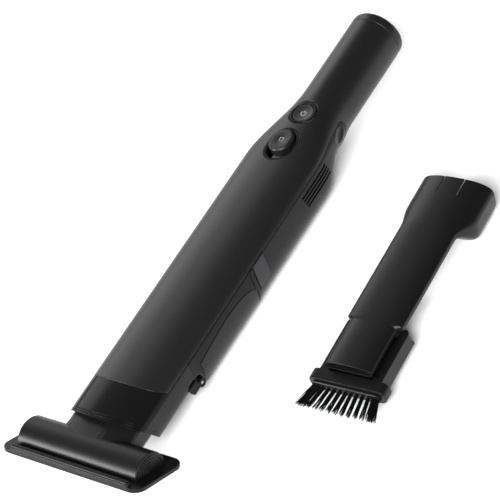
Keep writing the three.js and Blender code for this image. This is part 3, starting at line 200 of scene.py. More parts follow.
def stations(start, end):
    steps = [start, end]
    for a, b, n in ((CUP_Y, BELLY_Y + 1, FRONT_SECTIONS), (FLARE_Y, CAP_Y - HANDLE_LENGTH, FLARE_SECTIONS),
                    (start, end, LEAST_SECTIONS)):
        steps += [lerp(a, b, i / n) for i in range(n + 1)]
    inside = sorted({round(y, 3) for y in steps if start <= y <= end})
    return [y for k, y in enumerate(inside) if k == 0 or y - inside[k - 1] > CLOSEST_SECTIONS]


def body_form(start, end, inset):
    wall = inset if callable(inset) else lambda y: inset
    return skin("form", [body_ring(y, wall(y)) for y in stations(start, end)])


def side_plate(points, x0, x1):
    return skin("plate", [[(x, y, z) for y, z in points] for x in (x0, x1)])


def plan_plate(points, z0, z1):
    return skin("plate", [[(x, y, z) for x, y in points] for z in (z0, z1)])


def block(x0, x1, y0, y1, z0, z1):
    return plan_plate([(x0, y0), (x1, y0), (x1, y1), (x0, y1)], z0, z1)


def in_order(a, b):
    return min(a, b), max(a, b)


def drum(axis, start, end, a, b, radius, sides=64):
    around = [(a + radius * math.cos(2 * math.pi * i / sides),
               b + radius * math.sin(2 * math.pi * i / sides)) for i in range(sides)]
    place = {"x": lambda t, u, v: (t, u, v),
             "y": lambda t, u, v: (u, t, v),
             "z": lambda t, u, v: (u, v, t)}[axis]
    return skin("drum", [[place(t, u, v) for u, v in around] for t in (start, end)])


def turned(name, profile, place, sides=96):
    """Solid of revolution: profile points are (radius, height), and place sets a point of it."""
    rings = [[place(r * math.cos(2 * math.pi * i / sides), r * math.sin(2 * math.pi * i / sides), h)
              for i in range(sides)] for r, h in profile]
    return skin(name, rings)


POLE = 1e-3


def ball(name, radius, place, steps, sides):
    """Ball about a centre that place sets: its poles are tiny rings, so that they close cleanly."""
    profile = [(radius * math.sin(math.pi * k / steps) + POLE, -radius * math.cos(math.pi * k / steps))
               for k in range(steps + 1)]
    return turned(name, profile, place, sides)


def softened(start, end, soft):
    """Stations of a bar with soft end edges, each with how much its section is drawn in there."""
    steps = ((0, soft), (soft * 0.3, soft * 0.3), (soft, 0))
    return ([(start + along, less) for along, less in steps]
            + [(end - along, less) for along, less in steps[::-1]])


def arc(a, b, radius, start, end, steps=10):
    return [(a + radius * math.cos(math.radians(lerp(start, end, i / steps))),
             b + radius * math.sin(math.radians(lerp(start, end, i / steps)))) for i in range(steps + 1)]


def round_rectangle(a, b, half_a, half_b, corner, steps=8):
    r = min(corner, half_a, half_b) - 0.001
    return (arc(a + half_a - r, b + half_b - r, r, 0, 90, steps)
            + arc(a - half_a + r, b + half_b - r, r, 90, 180, steps)
            + arc(a - half_a + r, b - half_b + r, r, 180, 270, steps)
            + arc(a + half_a - r, b - half_b + r, r, 270, 360, steps))


def duct(y0, y1, z, half_width, half_height, corner):
    return skin("duct", [[(px, y, pz) for px, pz in round_rectangle(0, z, half_width, half_height, corner)]
                         for y in (y0, y1)])


# %% Joining and cutting
def combine(target, operation, *tools):
    """Adds to, cuts from or keeps what is common with the tools, which are used up."""
    for tool in tools:
        step = target.modifiers.new("step", "BOOLEAN")
        step.operation = operation
        step.solver = "MANIFOLD"
        step.object = tool
        graph = bpy.context.evaluated_depsgraph_get()
        made = bpy.data.meshes.new_from_object(target.evaluated_get(graph))
        target.modifiers.clear()
        target.data = made
        bpy.data.objects.remove(tool)
    return target


def cut(target, *tools):
    return combine(target, "DIFFERENCE", *tools)


def add(target, *tools):
    return combine(target, "UNION", *tools)


def keep(target, *tools):
    return combine(target, "INTERSECT", *tools)


# %% [markdown]
# A finished piece is moved into the frame's metres in its mesh, never by its object. Where a moulded
# edge is too small to draw as faces everywhere, weighted normals keep the broad faces calm.

# %% Finishing a piece
PIECES = []
WELD = 0.004
SHORTEST_EDGE = 0.002


def finished(piece, name, body, slot, material, *nodes, crease=32):
    piece.name = piece.data.name = name
    form = bmesh.new()
    form.from_mesh(piece.data)
    bmesh.ops.remove_doubles(form, verts=form.verts, dist=WELD)
    bmesh.ops.dissolve_degenerate(form, edges=form.edges, dist=SHORTEST_EDGE)
    for vertex in form.verts:
        vertex.co = Vector((vertex.co.x, vertex.co.y + LIP_Y, vertex.co.z + AXIS_Z)) * MM
    form.to_mesh(piece.data)
    form.free()
    piece.data.shade_smooth()
    piece.data.set_sharp_from_angle(angle=math.radians(crease))
    calm = piece.modifiers.new("calm", "WEIGHTED_NORMAL")
    calm.keep_sharp = True
    piece.data.materials.clear()
    piece.data.materials.append(material)
    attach(piece, body)
    if nodes:
        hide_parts(*nodes)
    PIECES.append(piece)
    print(f"{name}: {len(piece.data.polygons)} faces on {body}")
    return piece


# %% [markdown]
# ## Finishes
# Each material is a Principled shader with a little grain, worn or polished by its own noise. Colours
# are given as sRGB hex and turned to linear by one function.

# %% Material helpers
def linear(code):
    channels = [int(code[i:i + 2], 16) / 255 for i in (0, 2, 4)]
    return tuple(c / 12.92 if c <= 0.04045 else ((c + 0.055) / 1.055) ** 2.4 for c in channels) + (1.0,)


def node(tree, kind, settings=None, **inputs):
    """One new node: settings are its properties, inputs are values or sockets to link."""
    made = tree.nodes.new(kind)
    for key, value in (settings or {}).items():
        setattr(made, key, value)
    for key, value in inputs.items():
        socket = made.inputs[key.replace("_", " ")]
        if isinstance(value, bpy.types.NodeSocket):
            tree.links.new(value, socket)
        else:
            socket.default_value = value
    return made


CLOUD_MM = 12       # how far apart the paler and darker parts of one moulding lie


def finish(name, dark, light, roughness, grain_mm, depth_mm, spread=0.06, edge_mm=0.35, **shader):
    """Moulded or coated surface: two close colours, a grain size, a bump depth and a soft edge."""
    material = bpy.data.materials.new(name)
    material.use_nodes = True
    tree = material.node_tree
    tree.nodes.clear()
    place = node(tree, "ShaderNodeTexCoord").outputs["Object"]
    cloud = node(tree, "ShaderNodeTexNoise", Vector=place, Scale=1 / (CLOUD_MM * MM), Detail=3.0,
                 Roughness=0.6)
    grain = node(tree, "ShaderNodeTexNoise", Vector=place, Scale=1 / (grain_mm * MM), Detail=2.0,
                 Roughness=0.5)
    colour = node(tree, "ShaderNodeMix", {"data_type": "RGBA"})
    tree.links.new(cloud.outputs["Fac"], colour.inputs["Factor"])
    for socket in colour.inputs:
        if socket.type == "RGBA" and socket.name == "A":
            socket.default_value = linear(dark)
        if socket.type == "RGBA" and socket.name == "B":
            socket.default_value = linear(light)
    rough = node(tree, "ShaderNodeMapRange", To_Min=max(roughness - spread, 0.02),
                 To_Max=roughness + spread)
    tree.links.new(grain.outputs["Fac"], rough.inputs["Value"])
    edge = node(tree, "ShaderNodeBevel", {"samples": 4}, Radius=edge_mm * MM)
    bump = node(tree, "ShaderNodeBump", Height=grain.outputs["Fac"], Distance=depth_mm * MM, Strength=1.0,
                Normal=edge.outputs["Normal"])
    surface = node(tree, "ShaderNodeBsdfPrincipled", Roughness=rough.outputs["Result"],
                   Normal=bump.outputs["Normal"], **shader)
    tree.links.new([s for s in colour.outputs if s.type == "RGBA"][0], surface.inputs["Base Color"])
    node(tree, "ShaderNodeOutputMaterial", {"target": "ALL"}, Surface=surface.outputs["BSDF"])
    return material


# %% [markdown]
# ABS is the usual shell plastic. A fine spark-eroded mould gives the cover its satin, and a polished
# mould gives the lower parts their gloss. The dust cup is smoked polycarbonate. The plates are coated
# with a dark metallic lacquer, and the bristles are nylon.

# %% The vacuum's finishes
ABS_SATIN = finish("satin_abs", "0f0f10", "131314", 0.4, 0.35, 0.006, edge_mm=0.8, Specular_IOR_Level=0.36)
ABS_GLOSS = finish("polished_abs", "0c0c0d", "101011", 0.2, 0.8, 0.002, spread=0.03, Specular_IOR_Level=0.1)
POLYCARBONATE = finish("smoked_polycarbonate", "050506", "080809", 0.1, 1.2, 0.001, spread=0.02,
                       Specular_IOR_Level=0.08)
BELLY_HAZE = finish("hazed_polycarbonate", "0e0f10", "141517", 0.26, 0.9, 0.002, Specular_IOR_Level=0.12)
TOOL_ABS = finish("grained_abs", "0a0a0b", "0f0f10", 0.4, 0.6, 0.02, Specular_IOR_Level=0.17)
SATIN_TOOL = finish("fine_satin_abs", "0b0b0c", "0f0f10", 0.34, 0.5, 0.006, Specular_IOR_Level=0.2)
LACQUER = finish("silver_lacquer", "292a2c", "303133", 0.4, 0.25, 0.004, Metallic=0.8)
STEEL = finish("plain_steel", "b0b0b3", "bdbdc0", 0.28, 0.6, 0.003, Metallic=1.0)
ZINC = finish("zinc_plated_steel", "97999c", "a5a7aa", 0.35, 0.7, 0.004, Metallic=1.0)
INNER_ABS = finish("inner_abs", "3b3d40", "45474a", 0.5, 0.6, 0.008, IOR=1.5)
RUBBER = finish("seal_rubber", "242426", "2c2c2e", 0.75, 0.4, 0.02, IOR=1.5)
FELT = finish("filter_felt", "d8d8d2", "e4e4df", 0.95, 0.4, 0.06, Sheen_Weight=0.4)
FOAM = finish("open_foam", "2b2c2f", "3a3b3e", 0.95, 1.2, 0.3, Sheen_Weight=0.2)
SLEEVE = finish("battery_sleeve", "2c6796", "3370a0", 0.3, 0.8, 0.003, IOR=1.5)
SOLDER_MASK = finish("solder_mask", "1b5430", "20603a", 0.3, 0.5, 0.004, IOR=1.5)
LINT = finish("lint_fabric", "2a2a2d", "38383b", 0.9, 0.3, 0.1, Sheen_Weight=0.6)
NYLON = finish("nylon_bristle", "020202", "030303", 0.7, 0.4, 0.002, Specular_IOR_Level=0.1)
PRINT = finish("pad_print", "a9abad", "b4b6b8", 0.5, 0.4, 0.001)
print(len(bpy.data.materials), "finishes")

# %% [markdown]
# ## Top cover and handle
# The cover is one moulding that runs from an arched front edge back to the end cap, and below the neck
# it wraps right round as the handle. A cover region, drawn once, cuts it free from the lower parts.

# %% The region above the seam
FAR = 400
SETBACK_CORNER = 11
SETBACK_ARCH = 3
CORNER_POWER = 9
FRONT_STEPS = 96
PAST = 20           # how far a region reaches past the body's ends
NECK_SEAM_Y = FLARE_Y + 26


def cover_region(grow):
    seam = SEAM_Z - grow
    front = COVER_SETBACK - grow
    side = ([(front - PAST, FAR), (front - PAST, seam), (NECK_SEAM_Y, seam),
             (TONGUE_Y - 7, TONGUE_Z + TONGUE_RADIUS + 0.6 - grow)]
            + arc(TONGUE_Y, TONGUE_Z, TONGUE_RADIUS - grow, 90, -90, 40)
            + [(TONGUE_Y - grow, -FAR), (END_Y + PAST, -FAR), (END_Y + PAST, FAR)])
    plan = [(FAR, END_Y + PAST), (-FAR, END_Y + PAST), (-FAR, front + SETBACK_CORNER + 4)]
    for i in range(FRONT_STEPS + 1):
        t = 2 * i / FRONT_STEPS - 1
        arch = SETBACK_ARCH * t * t + (SETBACK_CORNER - SETBACK_ARCH) * abs(t) ** CORNER_POWER
        plan.append((t * (BODY_HALF_WIDTH + 1), front + arch))
    plan.append((FAR, front + SETBACK_CORNER + 4))
    return keep(side_plate(side, -FAR, FAR), plan_plate(plan, -FAR, FAR))


def oval(half_width, half_length, y):
    return round_rectangle(0, y, half_width, half_length, half_width, 16)


# %% Cover
BUTTON_RADIUS = 8.4
BUTTON_RING = 1.9
BUTTON_Y = (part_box("power_button")[0][1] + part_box("power_button")[1][1]) / 2 / MM - LIP_Y
BUTTON_FLOOR_Z = HANDLE_RADIUS - 1.3
SLIDER_HALF_WIDTH = 8.6
SLIDER_LENGTH = 21.5
SLIDER_TRAVEL = 3.5
SLIDER_Y = FLARE_Y + 8.5
WELL_HALF_WIDTH = SLIDER_HALF_WIDTH + GAP
WELL_HALF_LENGTH = (SLIDER_LENGTH + SLIDER_TRAVEL) / 2 + 2 * GAP
BEZEL_RIM = 2.6
WELL_FLOOR_Z = 14
RING_HOLE_Z = 9
RECESS = 1.6        # how much wider than its ring the button's recess is

cover = body_form(COVER_SETBACK - 10, CAP_Y - GAP, 0)
cut(cover, body_form(COVER_SETBACK - 11, CAP_Y + 5, shell_wall))
keep(cover, cover_region(0))
cut(cover, drum("z", BUTTON_FLOOR_Z, FAR, 0, BUTTON_Y, BUTTON_RADIUS + BUTTON_RING + RECESS, 96),
    drum("z", RING_HOLE_Z, FAR, 0, BUTTON_Y, BUTTON_RADIUS + BUTTON_RING + 2 * GAP, 96),
    plan_plate(oval(WELL_HALF_WIDTH + BEZEL_RIM + GAP, WELL_HALF_LENGTH + BEZEL_RIM + GAP, SLIDER_Y),
               WELL_FLOOR_Z, 30))
finished(cover, "top_cover", "main", "satin_black", ABS_SATIN, "upper_shell")

# %% [markdown]
# The end cap is turned: a full-width skirt, a generous round and a hole for the charging jack.

# %% End cap
CAP_ROUND = 4
CAP_BEVEL = 0.4
CAP_SPIGOT = 3
JACK_HOLE_RADIUS = 4.3
spigot_radius = HANDLE_RADIUS - HANDLE_WALL - GAP
cap_profile = ([(spigot_radius, CAP_Y - CAP_SPIGOT), (spigot_radius, CAP_Y),
                (HANDLE_RADIUS - CAP_BEVEL, CAP_Y), (HANDLE_RADIUS, CAP_Y + CAP_BEVEL)]
               + arc(HANDLE_RADIUS - CAP_ROUND, END_Y - CAP_ROUND, CAP_ROUND, 0, 90, 14))
cap = turned("cap", cap_profile, lambda u, v, h: (u, h, v), 128)
cut(cap, drum("y", CAP_Y - 10, END_Y + 5, 0, 0, JACK_HOLE_RADIUS, 48))
finished(cap, "handle_end_cap", "main", "satin_black", ABS_SATIN, "end_cap")

# %% [markdown]
# ## Lower shell
# The motor bay is polished. On each side it has four long exhaust slots that step back as they go
# down. Geometry Nodes repeat one slot cutter along a line, and the shell is then cut with the result.

# %% A tree that repeats a shape along a line
def new_tree(name, **inputs):
    """A Geometry Nodes tree with the named inputs, and the sockets that hand them over."""
    tree = bpy.data.node_groups.new(name, "GeometryNodeTree")
    for label, kind in inputs.items():
        tree.interface.new_socket(label.replace("_", " "), in_out="INPUT", socket_type="NodeSocket" + kind)
    tree.interface.new_socket("Geometry", in_out="OUTPUT", socket_type="NodeSocketGeometry")
    return tree, node(tree, "NodeGroupInput").outputs


def end_tree(tree, material, **placing):
    """Copies a shape onto points, makes the copies real, dresses them and ends the tree."""
    placed = node(tree, "GeometryNodeInstanceOnPoints", **placing)
    real = node(tree, "GeometryNodeRealizeInstances", Geometry=placed.outputs["Instances"])
    dressed = node(tree, "GeometryNodeSetMaterial", Geometry=real.outputs["Geometry"], Material=material)
    node(tree, "NodeGroupOutput", Geometry=dressed.outputs["Geometry"])
    return tree


def repeat_tree(name):
    tree, given = new_tree(name, Shape="Object", Count="Int", First="Vector", Step="Vector",
                           Finish="Material")
    line = node(tree, "GeometryNodeMeshLine", {"mode": "OFFSET"}, Count=given["Count"],
                Start_Location=given["First"], Offset=given["Step"])
    shape = node(tree, "GeometryNodeObjectInfo", {"transform_space": "ORIGINAL"}, Object=given["Shape"])
    return end_tree(tree, given["Finish"], Points=line.outputs["Mesh"], Instance=shape.outputs["Geometry"])


REPEAT = repeat_tree("repeat_along_a_line")


def grown(tree, name, **values):
    """The plain mesh that a tree makes, as a new object."""
    holder = bpy.data.objects.new(name, bpy.data.meshes.new(name))
    bpy.context.collection.objects.link(holder)
    maker = holder.modifiers.new("maker", "NODES")
    maker.node_group = tree
    for item in tree.interface.items_tree:
        key = item.name.replace(" ", "_")
        if item.in_out == "INPUT" and key in values:
            maker[item.identifier] = values[key]
    graph = bpy.context.evaluated_depsgraph_get()
    made = bpy.data.meshes.new_from_object(holder.evaluated_get(graph))
    holder.modifiers.clear()
    holder.data = made
    return holder


def repeated(shape, count, first, step, material):
    row = grown(REPEAT, "row", Shape=shape, Count=count, First=first, Step=step, Finish=material)
    bpy.data.objects.remove(shape)
    return row


# %% Lower shell
VENT_SLOTS = 4
VENT_PITCH = 3.8
VENT_LEAN = 1.1
VENT_LENGTH = 36
VENT_WIDTH = 2.2
VENT_Y = FLARE_Y - 6
VENT_TOP_Z = 3.4
BADGE_LENGTH = 14.5
BADGE_BOTTOM_Z = -15
BADGE_CORNER = 1.6
BULKHEAD = 2.2
BULKHEAD_HOLE = 14.5
SIDE_CUT_X = 12      # the cutters on the sides start this far from the middle
DISH_RADIUS = 20
DISH_REACH = 18.8
MOTOR_Z = (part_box("motor_can")[0][2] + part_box("motor_can")[1][2]) / 2 / MM - AXIS_Z

lower = body_form(BAY_Y, TONGUE_Y + 15, 0)
cut(lower, body_form(BAY_Y - 1, TONGUE_Y + 20, shell_wall))
wall = body_form(BAY_Y, BAY_Y + BULKHEAD, SHELL_WALL - 0.1)
add(lower, cut(wall, drum("y", BAY_Y - 1, BAY_Y + BULKHEAD + 1, 0, MOTOR_Z, BULKHEAD_HOLE)))
cut(lower, cover_region(GAP), block(-FAR, FAR, 0, FAR, SEAM_Z - 0.001, FAR))
for side in (-1, 1):
    x0, x1 = in_order(side * SIDE_CUT_X, side * (BODY_HALF_WIDTH + 5))
    slot_shape = side_plate(round_rectangle(VENT_Y, VENT_TOP_Z, VENT_LENGTH / 2, VENT_WIDTH / 2,
                                            VENT_WIDTH / 2), x0, x1)
    slots = repeated(slot_shape, VENT_SLOTS, (0, 0, 0), (0, VENT_LEAN, -VENT_PITCH), ABS_GLOSS)
    window = side_plate(round_rectangle(BAY_Y + BADGE_LENGTH / 2, (BADGE_BOTTOM_Z + SEAM_Z) / 2,
                                        BADGE_LENGTH / 2 + 2 * GAP,
                                        (SEAM_Z - BADGE_BOTTOM_Z) / 2 + GAP + 0.4, BADGE_CORNER), x0, x1)
    cut(lower, slots, keep(window, body_form(BAY_Y - 5, BAY_Y + 30, -2)))
    flare_here = lerp(BODY_HALF_WIDTH, HANDLE_RADIUS, smooth((TONGUE_Y - FLARE_Y) / FLARE_LENGTH))
    dish_x = side * (flare_here + DISH_REACH)
    cut(lower, ball("dish", DISH_RADIUS, lambda u, v, h: (dish_x + h, TONGUE_Y + u, TONGUE_Z + v), 24, 72))
finished(lower, "motor_bay_shell", "main", "gloss_black", ABS_GLOSS, "lower_shell")

# %% [markdown]
# The plate on each side frees the dust cup when it is pressed. It is a separate lacquered piece that
# follows the body's curve and stands a little proud of it.

# %% Release plates
BADGE_PROUD = 0.4
PLATE_WALL = 1.8
PLATE_CORNER = 1.3
STEM_RADIUS = 2
for side, word in ((-1, "left"), (1, "right")):
    x0, x1 = in_order(side * SIDE_CUT_X, side * (BODY_HALF_WIDTH + 5))
    plate_y = BAY_Y + GAP
    plate = body_form(plate_y, plate_y + BADGE_LENGTH - GAP, -BADGE_PROUD)
    cut(plate, body_form(plate_y - 1, plate_y + BADGE_LENGTH + 1, PLATE_WALL))
    half_y, half_z = (BADGE_LENGTH - GAP) / 2, (SEAM_Z - 2 * GAP - BADGE_BOTTOM_Z) / 2
    keep(plate, side_plate(round_rectangle(plate_y + half_y, BADGE_BOTTOM_Z + half_z, half_y - 0.01,
                                           half_z, PLATE_CORNER), x0, x1))
    stem = in_order(side * (BODY_HALF_WIDTH - 8.1), side * (BODY_HALF_WIDTH - 1.6))
    add(plate, drum("x", *stem, plate_y + BADGE_LENGTH / 2, 0, STEM_RADIUS, 32))
    finished(plate, "release_plate_" + word, "cup_button_" + word, "silver_plate", LACQUER,
             "cup_button_" + word)

# %% [markdown]
# ## Dust cup
# A smoked polycarbonate cup: polished above, with a slightly hazed and raised belly below a swept line.

# %% Dust cup
COVERED_INSET = SHELL_WALL + GAP
CUP_WALL = 2
CUP_TOP_Z = CUP_HIGH[2] - AXIS_Z
DUCT_HALF_WIDTH = 25.8
DUCT_TOP_Z = CUP_TOP_Z - 3
DUCT_BOTTOM_Z = 3 - NOSE_DEPTH
DUCT_Z = (DUCT_TOP_Z + DUCT_BOTTOM_Z) / 2
DUCT_HALF_HEIGHT = (DUCT_TOP_Z - DUCT_BOTTOM_Z) / 2
DUCT_CORNER = 6
CUP_FRONT_WALL = 6
SEAL_DEPTH = 2.4
SEAL_SIDE = 3.2
SEAL_HEIGHT = 2.2
SEAL_CORNER = 8
HINGE_PIN_RADIUS = 1.2
HINGE_EAR_RADIUS = 3.6
HINGE_Y = CUP_Y + HINGE_EAR_RADIUS
HINGE_Z = GAP + HINGE_PIN_RADIUS - NOSE_DEPTH
EAR_INNER_X = BODY_HALF_WIDTH - 4.3
EAR_OUTER_X = BODY_HALF_WIDTH - 1.1
LUG_INNER_X = BODY_HALF_WIDTH - 12
PIN_INNER_X = BODY_HALF_WIDTH - 10.5


def below_seam(start, end):
    return block(-FAR, FAR, start, end, -FAR, SEAM_Z - GAP)


def under_cover(start, end):
    covered = keep(body_form(start, end, COVERED_INSET),
                   block(-FAR, FAR, start - 1, end + 1, -FAR, CUP_TOP_Z))
    return add(keep(body_form(start, end, 0), below_seam(start - 1, end + 1)), covered)


cup = under_cover(CUP_Y, CUP_END_Y)
cavity = keep(body_form(CUP_Y + CUP_FRONT_WALL, CUP_END_Y + 1, CUP_WALL),
              block(-FAR, FAR, 0, FAR, -FAR, SEAM_Z - GAP - CUP_WALL))
add(cavity, keep(body_form(CUP_Y + CUP_FRONT_WALL, CUP_END_Y + 1, COVERED_INSET + CUP_WALL),
                 block(-FAR, FAR, 0, FAR, -FAR, CUP_TOP_Z - CUP_WALL)))
for side in (-1, 1):
    cut(cavity, block(*in_order(side * LUG_INNER_X, side * EAR_INNER_X), CUP_Y, HINGE_Y + 7,
                      HINGE_Z - 9, HINGE_Z + 6))
cut(cup, cavity, duct(CUP_Y - 1, CUP_Y + 8, DUCT_Z, DUCT_HALF_WIDTH, DUCT_HALF_HEIGHT, DUCT_CORNER),
    duct(CUP_Y - 1, CUP_Y + SEAL_DEPTH, DUCT_Z, DUCT_HALF_WIDTH + SEAL_SIDE, DUCT_HALF_HEIGHT + SEAL_HEIGHT,
         SEAL_CORNER))
for side in (-1, 1):
    ear = HINGE_EAR_RADIUS + 2 * GAP
    inner, outer = side * EAR_INNER_X, side * FAR
    cut(cup, block(*in_order(inner, outer), CUP_Y - 1, HINGE_Y, -FAR, HINGE_Z + ear),
        drum("x", *in_order(inner, outer), HINGE_Y, HINGE_Z, ear, 48),
        block(*in_order(inner, outer), HINGE_Y - 1, HINGE_Y + ear, -FAR, HINGE_Z),
        drum("x", *in_order(side * (PIN_INNER_X - GAP), outer), HINGE_Y, HINGE_Z,
             HINGE_PIN_RADIUS + GAP, 32))

# %% Belly of the cup
SWEEP = [(9.5, -3.0), (28, -0.6), (48, 0.8), (64, -0.6), (78, -5.0), (86, -13.0), (90.5, -23.0)]


def swept(points, steps=10):
    """A smooth line through points, as Catmull-Rom would bend a spline batten."""
    ends = [points[0]] + points + [points[-1]]
    line = []
    for k in range(1, len(ends) - 2):
        p0, p1, p2, p3 = (np.array(ends[k + i - 1]) for i in range(4))
        for i in range(steps):
            t = i / steps
            line.append(tuple(0.5 * (2 * p1 + (p2 - p0) * t + (2 * p0 - 5 * p1 + 4 * p2 - p3) * t * t
                                     + (3 * p1 - p0 - 3 * p2 + p3) * t ** 3)))
    return line + [tuple(points[-1])]


BELLY_PROUD = 0.35
RIM_START, RIM_END = 4.4, 1.6
belly_line = [(CUP_Y + a, b) for a, b in swept(SWEEP)]
belly_start, belly_end = CUP_Y + SWEEP[0][0], CUP_Y + SWEEP[-2][0]
panel = body_form(belly_start, belly_end, -BELLY_PROUD)
cut(panel, body_form(belly_start - 1, belly_end + 1, 0.02))
keep(panel, side_plate([(belly_start, -FAR)] + belly_line + [(belly_line[-1][0], -FAR)], -FAR, FAR),
     block(-FAR, FAR, 0, FAR, -AXIS_Z + 0.3, FAR))
finished(panel, "dust_cup_belly", "cup", "smoked_cup", BELLY_HAZE)
rim = keep(body_form(CUP_END_Y - RIM_START, CUP_END_Y - RIM_END, -BELLY_PROUD),
           block(-FAR, FAR, 0, FAR, -AXIS_Z + 0.2, SEAM_Z - GAP))
cut(rim, body_form(CUP_END_Y - 6, CUP_END_Y, 0.5))
add(cup, rim)
finished(cup, "dust_cup_shell", "cup", "smoked_cup", POLYCARBONATE, "dust_cup")

# %% [markdown]
# ## Nose
# The nose is a short polished duct with a mouth that leans back. Two fine grooves run round the lip.

# %% Nose door
NECK_HALF_WIDTH = 28.4
NECK_HALF_HEIGHT = 15
NECK_TOP_Z = 18
NECK_DEPTH = 22
NECK_CLEARANCE = 0.5
LIP_REACH = 60
LIP_GROOVES = (1.3, 3.1)
GROOVE_WIDTH = 0.55
GROOVE_DEPTH = 0.4
NECK_ROOF = NECK_TOP_Z - WIDEST_Z
NECK_LOW = 2 * NECK_HALF_HEIGHT - NECK_ROOF
FLAP_Y = NOSE_LENGTH - 7
FLAP_PIVOT_Z = DUCT_TOP_Z - 1.9
PIVOT_REACH = 1.4
PIVOT_HOLE_RADIUS = 1.5


def neck_form(start, end, inset):
    section = arch_section(NECK_HALF_WIDTH - inset, WIDEST_Z, NECK_ROOF - inset, NECK_LOW - inset)
    return skin("neck", [[(x, y, z) for x, z in section] for y in (start, end)])


def lip_plane(offset, z):
    """Where the leaning mouth's plane, moved back by offset, lies at height z."""
    return LIP_TOP_Y + offset + (HANDLE_RADIUS - z) * LIP_SLOPE


def lip_band(start, end):
    return side_plate([(lip_plane(offset, z), z) for offset, z in ((start, -LIP_REACH), (end, -LIP_REACH),
                                                                   (end, LIP_REACH), (start, LIP_REACH))],
                      -FAR, FAR)


nose = body_form(LIP_TOP_Y - 6, NOSE_LENGTH, 0)
keep(nose, lip_band(0, 200))
covered = keep(body_form(COVER_SETBACK - 6, NOSE_LENGTH + 1, COVERED_INSET),
               block(-FAR, FAR, 0, FAR, -FAR, CUP_TOP_Z))
cut(nose, cut(cover_region(GAP), covered))
for offset in LIP_GROOVES:
    groove = keep(body_form(LIP_TOP_Y - 6, NOSE_LENGTH, -1), lip_band(offset, offset + GROOVE_WIDTH))
    cut(nose, cut(groove, body_form(LIP_TOP_Y - 7, NOSE_LENGTH + 1, GROOVE_DEPTH)))
cut(nose, neck_form(-30, NECK_DEPTH + NECK_CLEARANCE, -NECK_CLEARANCE),
    duct(NECK_DEPTH - 2, NOSE_LENGTH + 1, DUCT_Z, DUCT_HALF_WIDTH, DUCT_HALF_HEIGHT, DUCT_CORNER))
for side in (-1, 1):
    inner, outer = side * (EAR_INNER_X + GAP), side * EAR_OUTER_X
    add(nose, block(*in_order(side * (DUCT_HALF_WIDTH + 0.6), outer), NOSE_LENGTH - 7, NOSE_LENGTH,
                    HINGE_Z - 0.6, HINGE_Z + 2 * HINGE_EAR_RADIUS),
        block(*in_order(inner, outer), NOSE_LENGTH - 1, HINGE_Y, HINGE_Z - 0.6,
              HINGE_Z + HINGE_EAR_RADIUS),
        drum("x", *in_order(inner, outer), HINGE_Y, HINGE_Z, HINGE_EAR_RADIUS, 64))
    cut(nose, drum("x", *in_order(inner - side, outer + side), HINGE_Y, HINGE_Z,
                   HINGE_PIN_RADIUS + GAP, 32))
cut(nose, drum("x", -DUCT_HALF_WIDTH - PIVOT_REACH, DUCT_HALF_WIDTH + PIVOT_REACH, FLAP_Y, FLAP_PIVOT_Z,
               PIVOT_HOLE_RADIUS, 32))
finished(nose, "nose_duct", "nose", "gloss_black", ABS_GLOSS, "nozzle_door")

# %% [markdown]
# ## Power button
# A satin button with a shallow dish sits in a polished ring. The mark on it is the usual power sign.

# %% Power button and its ring
RING_INNER = BUTTON_RADIUS + GAP
RING_OUTER = RING_INNER + BUTTON_RING
RING_LOW = HANDLE_RADIUS - SHELL_WALL - 1.2
ring_profile = ([(RING_INNER, RING_LOW), (RING_OUTER, RING_LOW)]
                + arc(RING_OUTER - 0.7, BUTTON_FLOOR_Z - 0.3, 0.7, 0, 90, 6)
                + arc(RING_INNER + 0.5, BUTTON_FLOOR_Z - 0.1, 0.5, 90, 180, 6))


def on_top(u, v, h):
    return u, BUTTON_Y + v, h


def hollow_turned(name, profile, place, sides=96):
    """Ring-shaped solid of revolution: the profile is a closed loop."""
    points = [place(r * math.cos(2 * math.pi * i / sides), r * math.sin(2 * math.pi * i / sides), h)
              for i in range(sides) for r, h in profile]
    count = len(profile)
    faces = [(i * count + k, i * count + (k + 1) % count, ((i + 1) % sides) * count + (k + 1) % count,
              ((i + 1) % sides) * count + k) for i in range(sides) for k in range(count)]
    return solid(name, points, faces)


finished(hollow_turned("ring", ring_profile, on_top), "button_ring", "main", "gloss_black", ABS_GLOSS,
         "power_button_ring")
SWITCH_TOP = (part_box("power_button")[0][2] / MM) - AXIS_Z
DISH_DEPTH = 0.7
SIGN_WIDTH = 0.42
SIGN_RADIUS = 2.1
BUTTON_TOP_Z = BUTTON_FLOOR_Z + 0.2
STALK_RADIUS = 2
BUTTON_THICKNESS = 2.2
button_profile = [(STALK_RADIUS, SWITCH_TOP), (STALK_RADIUS, BUTTON_FLOOR_Z - BUTTON_THICKNESS),
                  (BUTTON_RADIUS, BUTTON_FLOOR_Z - BUTTON_THICKNESS),
                  (BUTTON_RADIUS, BUTTON_FLOOR_Z - 0.3), (BUTTON_RADIUS - 0.25, BUTTON_FLOOR_Z + 0.1),
                  (BUTTON_RADIUS - 0.8, BUTTON_TOP_Z)]
button_profile += [(BUTTON_RADIUS * (1 - k / 10),
                    BUTTON_TOP_Z - DISH_DEPTH * math.sin(math.pi * k / 20)) for k in range(2, 10)]
finished(turned("button", button_profile, on_top), "power_button_cap", "power_button", "satin_black",
         ABS_SATIN, "power_button")


def stroke(name, path, width, height, lift):
    """A thin printed line along a path of (x, y) points, at a height given by lift(x, y)."""
    rings = []
    for k, (x, y) in enumerate(path):
        ahead = np.array(path[min(k + 1, len(path) - 1)]) - np.array(path[max(k - 1, 0)])
        across = np.array([-ahead[1], ahead[0]]) / np.linalg.norm(ahead) * width / 2
        z = lift(x, y)
        rings.append([(x - across[0], y - across[1], z - 0.05), (x + across[0], y + across[1], z - 0.05),
                      (x + across[0], y + across[1], z + height),
                      (x - across[0], y - across[1], z + height)])
    return skin(name, rings)


